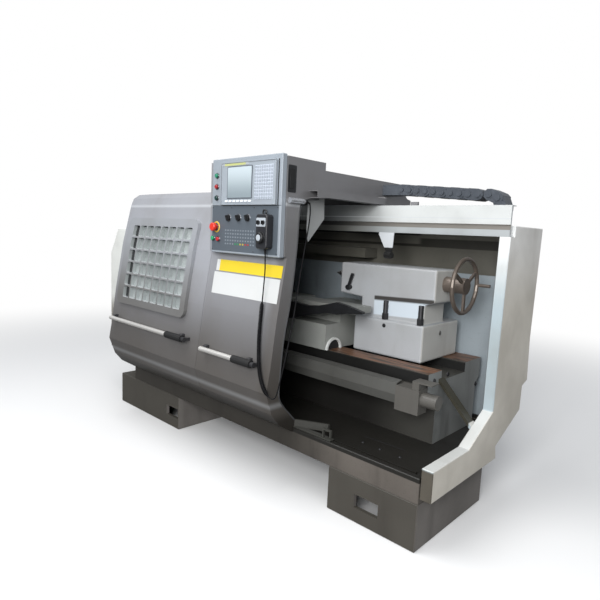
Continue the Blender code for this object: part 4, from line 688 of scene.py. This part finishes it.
def footPaint(name, tones):  # box feet whose end faces catch the light
    m = Mat(name)
    tone = m.mix(m.facing(0).step(*tones["faces_right"]), tones["front"], tones["end"])
    return peeled(m, worn(m, tone, tones["dark"], tones["wear"]), tones["rough"])


coverTones = {"upper": rgb(232, 234, 230), "lower": rgb(150, 147, 140), "dark": rgb(150, 146, 138),
              "grime": (0.62, 0.78)}
nozzleTones = {"upper": rgb(204, 208, 212), "lower": rgb(30, 30, 30), "dark": rgb(120, 116, 108), "wear": 0.2,
               "nozzle": (1.226, 1.229)}


def coverPaint(name, tones):  # pale sheet, darker toward the bottom
    m = Mat(name)
    # darker toward the bottom
    tone = m.mix(m.along(2).step(*tones["grime"]), tones["lower"], tones["upper"])
    return peeled(m, worn(m, tone, tones["dark"]))


def nozzlePaint(name, tones):  # pale bracket, black nozzle at its foot
    m = Mat(name)
    bracket = worn(m, tones["upper"], tones["dark"], tones["wear"])
    return peeled(m, m.mix(m.along(2).step(*tones["nozzle"]), tones["lower"], bracket))


# paint takes its name, colour, worn colour and wear; metal and plastic take name, colour and roughness
steel = metal("machined_steel", rgb(170, 168, 164))
darkSteel = metal("dark_steel", rgb(86, 86, 88), 0.42)
collarSteel = metal("collar_steel", rgb(120, 122, 126), dark=0.6)
black = plastic("black_plastic", rgb(24, 25, 27), 0.45)
rubber = plastic("black_rubber", rgb(20, 20, 21), 0.7, 300.0)
chainBlack = plastic("chain_plastic", rgb(66, 71, 78), 0.36)
finishes = {
    ("left_door_shell", "control_door_shell"): silver,
    ("window_grille",): grilleMat,
    ("top_beam",): beamPaint("beam_paint", beamTones),
    ("end_cover",): coverPaint("end_cover_paint", coverTones),
    ("nozzle_bracket",): nozzlePaint("nozzle_bracket_paint", nozzleTones),
    ("end_frame",): endPaint("end_frame_paint", endTones),
    ("tailstock",): tailPaint("tailstock_paint", tailTones),
    ("chip_tray",): trayPaint("tray_paint", trayTones),
    ("pedestal_left", "pedestal_right"): footPaint("foot_paint", footTones),
    ("rear_guard",): guardPaint("guard_paint", guardTones),
    ("bed",): bedPaint("bed_iron", bedTones),
    ("control_cabinet",): cabinetPaint("cabinet_paint", panelTones),
    ("left_handle_bar", "right_handle_bar"): barPaint("handle_steel", barTones),
    ("headstock",): paint("grey_casting_paint", rgb(182, 185, 188), rgb(122, 116, 108), 0.3),
    ("saddle", "cross_slide"): paint("saddle_paint", rgb(142, 144, 140), rgb(84, 80, 72), 0.4),
    ("screw_cover",): paint("screw_cover_paint", rgb(84, 84, 81), rgb(48, 46, 42), 0.4),
    ("screw_bearing_block",): paint("block_paint", rgb(88, 86, 82), rgb(56, 53, 48), 0.4),
    ("spindle_motor",): paint("motor_paint", rgb(72, 78, 86), rgb(44, 44, 46)),
    ("display_unit",): paint("unit_plastic", rgb(150, 158, 166), rgb(128, 132, 138), 0.08, roughness=0.45),
    ("electrical_cabinet", "electrical_door"): paint("electrical_paint", rgb(170, 174, 178),
                                                     rgb(128, 126, 122), 0.15),
    ("guide_shoe",): paint("hook_paint", rgb(62, 62, 58), rgb(40, 38, 34), 0.3),
    ("handwheel",): paint("handwheel_paint", rgb(112, 102, 94), rgb(70, 62, 54), 0.4, roughness=0.34,
                          metallic=0.4),
    ("spindle", "chuck_body", "jaw_1", "jaw_2", "jaw_3", "motor_pulley", "quill"): steel,
    ("tool_post",): darkSteel,
    ("ball_screw",): metal("ground_steel", rgb(190, 190, 190), 0.22, brush=(60.0, 1.0, 1.0)),
    ("cord_connector",): metal("connector_steel", rgb(222, 223, 226), 0.24, brush=(30.0, 1.0, 1.0),
                               dark=0.35),
    ("carriage_cover", "quill_lock_lever", "rotary_switch_1", "rotary_switch_2", "rotary_switch_3",
     "pendant_knob_1", "pendant_knob_2", "pendant_dial"): black,
    ("drive_belt", "left_handle_grip", "right_handle_grip"): rubber,
    ("chain_upper_run", "chain_bend"): chainBlack,
    ("pendant",): plastic("pendant_plastic", rgb(34, 35, 39), 0.45),
    ("power_on_button",): plastic("green_cap", rgb(30, 128, 96), 0.3),
    ("start_button",): plastic("start_cap", rgb(40, 156, 104), 0.3),
    ("power_off_button",): plastic("red_cap", rgb(158, 36, 40), 0.3),
    ("stop_button",): plastic("stop_cap", rgb(178, 34, 46), 0.3),
    ("mode_button",): plastic("dark_green_cap", rgb(22, 54, 52), 0.3),
    ("estop_button",): plastic("emergency_cap", rgb(212, 52, 36), 0.35),
}
for names, material in finishes.items():
    for name in names:
        put(name, material)
paneTones = {"clear": rgb(156, 162, 162), "dull": rgb(130, 136, 136), "dark": rgb(26, 26, 28),
             "gap_x": (-2.094, -2.090), "gap_z": (1.277, 1.281), "lean": 0.55, "streaks": 9.0,
             "streak_mix": 0.25, "cloud": (6.0, 4.0), "cloud_mix": 0.6, "cloud_band": (0.1, 0.6),
             "rough": 0.12, "waves": (14.0, 3.0), "depth": 0.001, "strength": 0.2}


def panePaint(name, tones):  # clouded glass with slanting streaks, with a painted shadow along its left and top edges
    m = Mat(name)
    x, z = m.along(0), m.along(2)
    streaks = m.node("Math", {"operation": 'SINE'}, (x + z * tones["lean"]) * tones["streaks"])
    cloud = m.noise(*tones["cloud"]) * tones["cloud_mix"] + streaks * tones["streak_mix"]
    glass = m.mix(cloud.step(*tones["cloud_band"]), tones["clear"], tones["dull"])
    # painted shadow along the left and top edges of the glass
    clear = x.step(*tones["gap_x"]) * (1 - z.step(*tones["gap_z"]))
    return m.done(m.mix(clear, tones["dark"], glass), tones["rough"], 0.0, m.noise(*tones["waves"]),
                  tones["depth"], tones["strength"])


put("window_glass", panePaint("window_pane", paneTones))
print("paints")

# Window grille: the CAD plate with its openings cut wider, so the bars are slim
grille = {"x": (-2.130, -1.470), "z": (0.820, 1.290), "y": (-0.30, 0.05), "columns": 8, "rows": 6,
          "bar": 0.009, "corner": 0.010, "corner_steps": 3}


def cells(x, z, columns, rows, gap, corner=None, steps=2):  # outlines in a grid, a gap apart
    wide, tall, half = (x[1] - x[0]) / columns, (z[1] - z[0]) / rows, gap / 2
    return [oblong(x[0] + i * wide + half, x[0] + (i + 1) * wide - half, z[0] + j * tall + half,
                   z[0] + (j + 1) * tall - half, corner or half, steps)
            for i in range(columns) for j in range(rows)]


openings = cells(grille["x"], grille["z"], grille["columns"], grille["rows"], grille["bar"], grille["corner"],
                 grille["corner_steps"])
cutter = bpy.data.objects.new("openings", prisms([(outline, 'y', *grille["y"]) for outline in openings]))
blank = bpy.data.objects.new("blank", cad["window_grille"].data.copy())
for item in (cutter, blank):
    bpy.context.scene.collection.objects.link(item)
blank.matrix_world = cad["window_grille"].matrix_world
cut = blank.modifiers.new("openings", 'BOOLEAN')
cut.operation, cut.object, cut.solver = 'DIFFERENCE', cutter, 'EXACT'
bpy.context.view_layer.update()
slim = bpy.data.meshes.new_from_object(blank.evaluated_get(bpy.context.evaluated_depsgraph_get()))
slim.transform(blank.matrix_world)
for item in (cutter, blank):
    bpy.data.objects.remove(item)
slim.materials.clear()
slimGrille = link("slim_grille", slim, grilleMat, "left_door")
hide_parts("window_grille")
print("grille")

# Display unit's screen and keys
unit = {"face": -0.1453, "x": (-1.147, -0.747), "z": (1.406, 1.610), "rim": 0.0022, "rim_proud": 0.0022,
        "screen_x": (-1.094, -0.916), "screen_z": (1.441, 1.588), "bezel": 0.005, "bezel_proud": 0.0022,
        "pane_proud": 0.0026, "pad_x": (-0.896, -0.768), "pad_z": (1.431, 1.589), "pad_proud": 0.0012,
        "key_columns": 8, "key_rows": 10, "key_gap": 0.0045, "key_proud": 0.0034, "soft_x": (-1.116, -0.911),
        "soft_z": (1.4165, 1.4335), "soft_keys": 7, "soft_gap": 0.0072, "strip_x": (-1.120, -0.962),
        "strip_z": (1.5965, 1.6065), "caps_x": ((-1.144, -1.1205), (-0.9615, -0.938))}
screenTones = {"low": rgb(132, 144, 150), "high": rgb(186, 198, 204), "z": (1.44, 1.59), "rough": 0.18}
# painted reflection: the screen lighter toward its top
screenMat = Mat("screen_pane")
screen_sheen = screenMat.along(2).step(*screenTones["z"])
screenMat.done(screenMat.mix(screen_sheen, screenTones["low"], screenTones["high"]), screenTones["rough"])
plateMat = paint("pendant_plate", rgb(176, 183, 190), rgb(146, 152, 158), 0.1, roughness=0.4)


def proud(outlines, face, height):  # flat pieces that stand off a front face
    return prisms([(outline, 'y', face, face - height) for outline in outlines])


def frontBars(x, z, wide):  # outlines of four bars round a rectangle
    (x0, x1), (z0, z1) = x, z
    return [oblong(x0, x1, z1 - wide, z1), oblong(x0, x1, z0, z0 + wide), oblong(x0, x0 + wide, z0, z1),
            oblong(x1 - wide, x1, z0, z1)]


(sx0, sx1), (sz0, sz1), edge = unit["screen_x"], unit["screen_z"], unit["bezel"]
keys = cells(unit["pad_x"], unit["pad_z"], unit["key_columns"], unit["key_rows"], unit["key_gap"])
softKeys = cells(unit["soft_x"], unit["soft_z"], unit["soft_keys"], 1, unit["soft_gap"])
for name, outlines, height, material, bevel in (
        ("display_rim", frontBars(unit["x"], unit["z"], unit["rim"]), unit["rim_proud"],
         metal("trim_metal", rgb(196, 200, 204), 0.28), 0.0006),
        ("screen_bezel", [oblong(sx0 - edge, sx1 + edge, sz0 - edge, sz1 + edge, edge)], unit["bezel_proud"],
         plastic("screen_bezel", rgb(84, 90, 98), 0.4), 0.001),
        ("screen_pane", [oblong(sx0, sx1, sz0, sz1, edge / 2)], unit["pane_proud"], screenMat.material, 0),
        ("key_pad", [oblong(*unit["pad_x"], *unit["pad_z"], edge / 2)], unit["pad_proud"],
         paint("key_pad_sheet", rgb(190, 197, 208), rgb(170, 176, 186), 0.1), 0.0004),
        ("pad_keys", keys, unit["key_proud"],
         paint("key_caps", rgb(158, 166, 176), rgb(140, 148, 158), 0.1, roughness=0.4), 0.0006),
        ("soft_keys", softKeys, unit["key_proud"],
         paint("soft_key_caps", rgb(232, 236, 240), rgb(200, 204, 208), 0.05, roughness=0.4), 0.0006),
        ("colour_strip", [oblong(*unit["strip_x"], *unit["strip_z"])], unit["pad_proud"],
         paint("plain_strip", rgb(186, 190, 128), rgb(160, 164, 118), 0.15), 0),
        ("strip_end_caps", [oblong(*x, *unit["strip_z"]) for x in unit["caps_x"]], unit["pad_proud"],
         paint("strip_ends", rgb(166, 172, 178), rgb(150, 154, 158), 0.1), 0)):
    link(name, proud(outlines, unit["face"], height), material, "control_door", bevel=bevel)
print("display")

# Control panel's collars, screws and membrane keys
panel = {"face": -0.137, "clear": 0.0006, "screw": (0.0032, 0.0022, 14),
         "buttons": ((-1.19, 1.554), (-1.19, 1.499), (-1.19, 1.443), (-1.2148, 1.238), (-1.171, 1.235)),
         "button": {"radius": 0.0105, "width": 0.0045, "height": 0.004, "sides": 28},
         "rotaries": ((-1.093, 1.343), (-1.015, 1.344), (-0.947, 1.345)),
         "rotary": {"radius": 0.015, "width": 0.0045, "height": 0.0018, "sides": 28},
         "emergency": ((-1.19, 1.296),),
         "ring": {"radius": 0.021, "width": 0.0075, "height": 0.0024, "sides": 40},
         "screws": ((-1.222, 1.394), (-1.070, 1.394), (-0.900, 1.394), (-0.738, 1.394), (-1.222, 1.184),
                    (-1.070, 1.184), (-0.900, 1.184), (-0.738, 1.184)),
         "cells_x": (-1.123, -0.890), "cells_z": (1.206, 1.290), "cell_columns": 12, "cell_rows": 5,
         "cell_gap": 0.0085, "cell_proud": 0.0007, "lit": {"green": (4, 5), "yellow": (6, 7), "red": (8, 9)}}


def collars(name, centres, size, material):
    inner, outer = size["radius"] + panel["clear"], size["radius"] + size["width"]
    rows = [ringRow((x, panel["face"], z), toFront, inner, outer, size["height"]) for x, z in centres]
    link(name, turnings(rows, size["sides"]), material, "control_door", smooth=True)


collars("button_collars", panel["buttons"], panel["button"], collarSteel)
collars("rotary_collars", panel["rotaries"], panel["rotary"], collarSteel)
collars("emergency_ring", panel["emergency"], panel["ring"], plastic("yellow_ring", rgb(206, 168, 52), 0.4))
bolts("panel_screws", [(x, panel["face"], z) for x, z in panel["screws"]], toFront, panel["screw"], darkSteel,
      "control_door")
membrane = cells(panel["cells_x"], panel["cells_z"], panel["cell_columns"], panel["cell_rows"],
                 panel["cell_gap"])
litCells = {name: [column * panel["cell_rows"] for column in columns]  # the lit keys are in the lowest row
            for name, columns in panel["lit"].items()}
litCells["keys"] = [i for i in range(len(membrane)) if not any(i in places for places in litCells.values())]
for name, slot, colour, rough in (("keys", "membrane_grey", rgb(122, 130, 138), 0.5),
                                  ("green", "membrane_green", rgb(40, 140, 84), 0.45),
                                  ("yellow", "membrane_yellow", rgb(196, 176, 60), 0.45),
                                  ("red", "membrane_red", rgb(168, 48, 44), 0.45)):
    link("membrane_" + name, proud([membrane[i] for i in litCells[name]], panel["face"], panel["cell_proud"]),
         plastic(slot, colour, rough), "control_door")

# Pendant's face plate, dial ring and hook
pendant = {"face": -0.1803, "plate_x": (-0.833, -0.771), "plate_z": (1.305, 1.345), "plate_proud": 0.0012,
           "plate_corner": 0.004, "dial": (-0.801, 1.2539), "ring": (0.0258, 0.0285), "ring_proud": 0.004,
           "ring_sides": 40, "cap_face": -0.1964, "cap": (0.0145, 0.0015, 32),
           "hook": (-0.801, -0.160, 1.3715), "hook_radius": 0.0105, "hook_wire": 0.0042,
           "hook_turn": (-40, 220), "hook_points": 25}
dialX, dialZ = pendant["dial"]
link("pendant_plate", proud([oblong(*pendant["plate_x"], *pendant["plate_z"], pendant["plate_corner"])],
                            pendant["face"], pendant["plate_proud"]), plateMat, "control_door", bevel=0.0003)
dialRing = ringRow((dialX, pendant["face"], dialZ), toFront, *pendant["ring"], pendant["ring_proud"])
link("dial_scale", turnings([dialRing], pendant["ring_sides"]), black, "control_door", smooth=True)
bolts("dial_cap", [(dialX, pendant["cap_face"], dialZ)], toFront, pendant["cap"], plateMat, "dial_body")
hookTurns = np.radians(np.linspace(*pendant["hook_turn"], pendant["hook_points"])).tolist()
hookLine = [at(*pendant["hook"]) + pendant["hook_radius"] * Vector((math.cos(a), 0, math.sin(a)))
            for a in hookTurns]
link("pendant_hook", sweep(hookLine, [pendant["hook_wire"]] * len(hookLine)), black, "control_door",
     smooth=True)
print("control panel")

# Yellow band and white sheet on the control door's skin
skinFacts = {"low": (-0.140, 0.875), "high": (-0.090, 1.170), "lift": 0.0006, "thick": 0.0008,
             "band": {"x": (-1.223, -0.728), "z": (1.070, 1.128)},
             "sheet": {"x": (-1.233, -0.732), "z": (0.950, 1.063)}}
bandTones = {"yellow": rgb(226, 200, 44), "worn": rgb(196, 166, 40), "wear": 0.1, "end": rgb(206, 208, 208),
             "yellow_x": (-1.198, -1.196)}


def skinSheet(facts, x, z):  # a thin sheet that lies on the sloping skin
    (y0, z0), (y1, z1) = facts["low"], facts["high"]
    lean = (y1 - y0) / (z1 - z0)
    inner = [(y0 + lean * (height - z0) - facts["lift"], height) for height in z]
    outline = inner + [(y - facts["thick"], height) for y, height in reversed(inner)]
    return prisms([(outline, 'x', *x)])


def bandPaint(name, tones):  # yellow with a white left end
    m = Mat(name)
    yellow = worn(m, tones["yellow"], tones["worn"], tones["wear"])
    return peeled(m, m.mix(m.along(0).step(*tones["yellow_x"]), tones["end"], yellow))


link("yellow_band", skinSheet(skinFacts, **skinFacts["band"]), bandPaint("yellow_band", bandTones),
     "control_door")
link("white_sheet", skinSheet(skinFacts, **skinFacts["sheet"]),
     paint("white_sheet", rgb(206, 208, 208), rgb(184, 184, 180), 0.1), "control_door")

# Housing side: recessed pull, opening's rolled edge painted dark as shade, inner bracket plate, and a dark
# sheet under the roof as painted shade
side = {"pull_y": (-0.104, -0.050), "pull_z": (1.466, 1.589), "pull_x": (-0.7148, -0.7136),
        "grip_y": (-0.092, -0.064), "grip_z": (1.482, 1.573), "grip_x": (-0.7136, -0.7100), "corner": 0.006,
        "edge_x": -0.7158, "edge_radius": 0.0042, "edge_steps": 6, "plate_x": (-0.752, -0.749),
        "liner_x": (-1.283, -0.719), "liner_y": (0.600, 0.602), "liner_z": (1.4565, 1.500)}
openingEdge = ((0.1110, 1.4500), (0.0450, 1.4460), (0.0000, 1.4250), (-0.0180, 1.3800), (-0.0270, 1.2041),
               (-0.0530, 0.9671), (-0.0890, 0.7781), (-0.1050, 0.5850), (-0.1000, 0.4850), (-0.0190, 0.3900),
               (0.0280, 0.3450))
innerPlate = ((0.074, 1.486), (0.192, 1.486), (0.199, 1.359), (0.088, 1.242), (0.074, 1.300))
for name, part, material, bevel in (("pull_recess", "pull", black, 0.0004),
                                    ("pull_grip", "grip", rubber, 0.001)):
    outline = oblong(*side[part + "_y"], *side[part + "_z"], side["corner"])
    link(name, prisms([(outline, 'x', *side[part + "_x"])]), material, "control_door", bevel=bevel)
edgeLine = smoothRoute([at(side["edge_x"], y, z) for y, z in openingEdge], side["edge_steps"])
# the rolled edge painted dark as shade along the opening
link("opening_edge", sweep(edgeLine, [side["edge_radius"]] * len(edgeLine)),
     paint("opening_edge_shade", rgb(62, 63, 65), rgb(46, 45, 43), 0.3, roughness=0.7), "control_door", smooth=True)
link("inner_plate", prisms([(innerPlate, 'x', *side["plate_x"])]),
     paint("inner_plate_paint", rgb(150, 152, 152), rgb(110, 108, 104), 0.25), "control_door")
# a dark sheet under the roof, standing in for shade
link("roof_shade_sheet", prisms([(oblong(*side["liner_x"], *side["liner_z"]), 'y', *side["liner_y"])]),
     paint("roof_shade_paint", rgb(40, 40, 40), rgb(28, 27, 25), 0.2), "control_door")
print("control door")

# Handle brackets on both doors
handle = {"half": 0.020, "length": 0.025, "y": (-0.190, -0.150),
          "left_door": {"x": (-2.215, -1.445), "z": 0.676, "name": "left_handle_brackets"},
          "control_door": {"x": (-1.215, -0.868), "z": 0.656, "name": "right_handle_brackets"}}
bracketMat = plastic("handle_bracket", rgb(46, 46, 48), 0.5)
for body in ("left_door", "control_door"):
    level, half = handle[body]["z"], handle["half"]
    outline = oblong(*handle["y"], level - half, level + half, half / 3, steps=3)
    link(handle[body]["name"], prisms([(outline, 'x', x, x + handle["length"]) for x in handle[body]["x"]]),
         bracketMat, body, bevel=0.002)
print("handles")

# Small hardware on the tray, bed, tailstock and saddle
trayFacts = {"floor": 0.2982, "bolts": ((-0.406, 0.170), (-0.305, 0.166), (-0.194, 0.164)),
             "bolt": (0.008, 0.005, 16), "seam": ((-0.443, 0.236), (-0.220, 0.246)), "seam_wide": 0.005,
             "seam_proud": 0.0008}
(x0, y0), (x1, y1) = trayFacts["seam"]
wide, level = trayFacts["seam_wide"], trayFacts["floor"]
bolts("tray_bolts", [(x, y, level) for x, y in trayFacts["bolts"]], toTop, trayFacts["bolt"], darkSteel,
      "root")
link("tray_seam", prisms([([(x0, y0), (x1, y1), (x1, y1 + wide), (x0, y0 + wide)], 'z', level,
                           level + trayFacts["seam_proud"])]), rubber, "root")
bedFacts = {"x": -0.170, "bolts": ((0.513, 0.630), (0.845, 0.520), (0.380, 0.620)),
            "bolt": (0.012, 0.007, 18)}
bolts("bed_bolts", [(bedFacts["x"], y, z) for y, z in bedFacts["bolts"]], toRight, bedFacts["bolt"],
      darkSteel, "root")
tail = {"studs": ((-0.540, 0.491), (-0.330, 0.491)), "stud": (0.013, 20), "stud_z": (0.8505, 0.950),
        "nut": (0.019, 6), "nut_z": (0.8505, 0.884), "hole": (-0.530, 0.4698, 0.820),
        "hole_head": (0.011, 0.001, 16), "end_bolt": (-0.265, 0.583, 0.812), "end_head": (0.012, 0.004, 20)}
studRows = [(disc(x, y, *tail["stud"]), 'z', *tail["stud_z"]) for x, y in tail["studs"]]
nutRows = [(disc(x, y, *tail["nut"]), 'z', *tail["nut_z"]) for x, y in tail["studs"]]
link("tailstock_studs", prisms(studRows + nutRows), darkSteel, "tailstock_body", bevel=0.001)
bolts("tailstock_hole", [tail["hole"]], toFront, tail["hole_head"], black, "tailstock_body")
bolts("tailstock_bolt", [tail["end_bolt"]], toRight, tail["end_head"], steel, "tailstock_body")
wiperFacts = {"x": -0.790, "reach": 0.016, "y": 0.368, "z": 0.660, "outer": 0.064, "inner": 0.052,
              "pad": 0.051, "steps": 18}


def arch(facts, radius):  # the upper half of a circle over the front way
    turns = [math.pi * i / facts["steps"] for i in range(facts["steps"] + 1)]
    return [(facts["y"] + radius * math.cos(a), facts["z"] + radius * math.sin(a)) for a in turns]


start, reach = wiperFacts["x"], wiperFacts["reach"]
wiperOutline = arch(wiperFacts, wiperFacts["outer"]) + arch(wiperFacts, wiperFacts["inner"])[::-1]
link("way_wiper", prisms([(wiperOutline, 'x', start, start + reach)]),
     paint("wiper_paint", rgb(206, 208, 206), rgb(150, 146, 138), 0.2), "carriage", bevel=0.001)
padOutline = arch(wiperFacts, wiperFacts["pad"])
link("way_wiper_pad", prisms([(padOutline, 'x', start, start + reach / 3)]), rubber, "carriage")
print("hardware")

# Drag chain's upper run between the sliding door and its bend, copied from the CAD run
chainFacts = {"door_end": -0.590, "bend": -0.130, "y": 0.690, "z": 1.500}
chainRun = link("chain_links", cad["chain_upper_run"].data.copy(), chainBlack, None)
chainRun.data.materials.pop(index=0)
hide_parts("chain_upper_run")
near, along = chainFacts["door_end"], chainFacts["bend"] - chainFacts["door_end"]
at(near, chainFacts["y"], chainFacts["z"])
at(near + 2 * along, chainFacts["y"], chainFacts["z"])
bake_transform(chainRun)
print("chain")

# Back and left end: vent slots, latch, hinges and cover bolts
rear = {"vents_x": (-1.40, -1.10), "vents_z": (0.46, 0.60), "vents": 7, "vent_tall": 0.006,
        "vent_y": (1.2877, 1.2885), "latch_x": (-0.800, -0.772), "latch_z": (0.785, 0.895),
        "latch_y": (1.2883, 1.2897), "latch_corner": 0.008, "hinge": (-1.7575, 1.2755, 0.006, 20),
        "hinge_tall": 0.06, "hinges": (0.46, 0.81, 1.16)}
tall, levels = rear["vent_tall"], np.linspace(*rear["vents_z"], rear["vents"]).tolist()
link("back_vents", prisms([(oblong(*rear["vents_x"], z, z + tall, tall / 2, steps=3), 'y', *rear["vent_y"])
                           for z in levels]), black, "electrical_door_body")
link("door_latch", prisms([(oblong(*rear["latch_x"], *rear["latch_z"], rear["latch_corner"]), 'y',
                            *rear["latch_y"])]), black, "electrical_door_body", bevel=0.0004)
hinge = disc(*rear["hinge"])
link("door_hinges", prisms([(hinge, 'z', z, z + rear["hinge_tall"]) for z in rear["hinges"]]), darkSteel,
     "root", bevel=0.001)
coverFacts = {"x": -2.790, "y": (0.110, 0.650, 1.200), "z": (0.375, 1.010), "bolt": (0.008, 0.002, 16)}
bolts("cover_bolts", [(coverFacts["x"], y, z) for y in coverFacts["y"] for z in coverFacts["z"]], toLeft,
      coverFacts["bolt"], darkSteel, "root")
print("back")
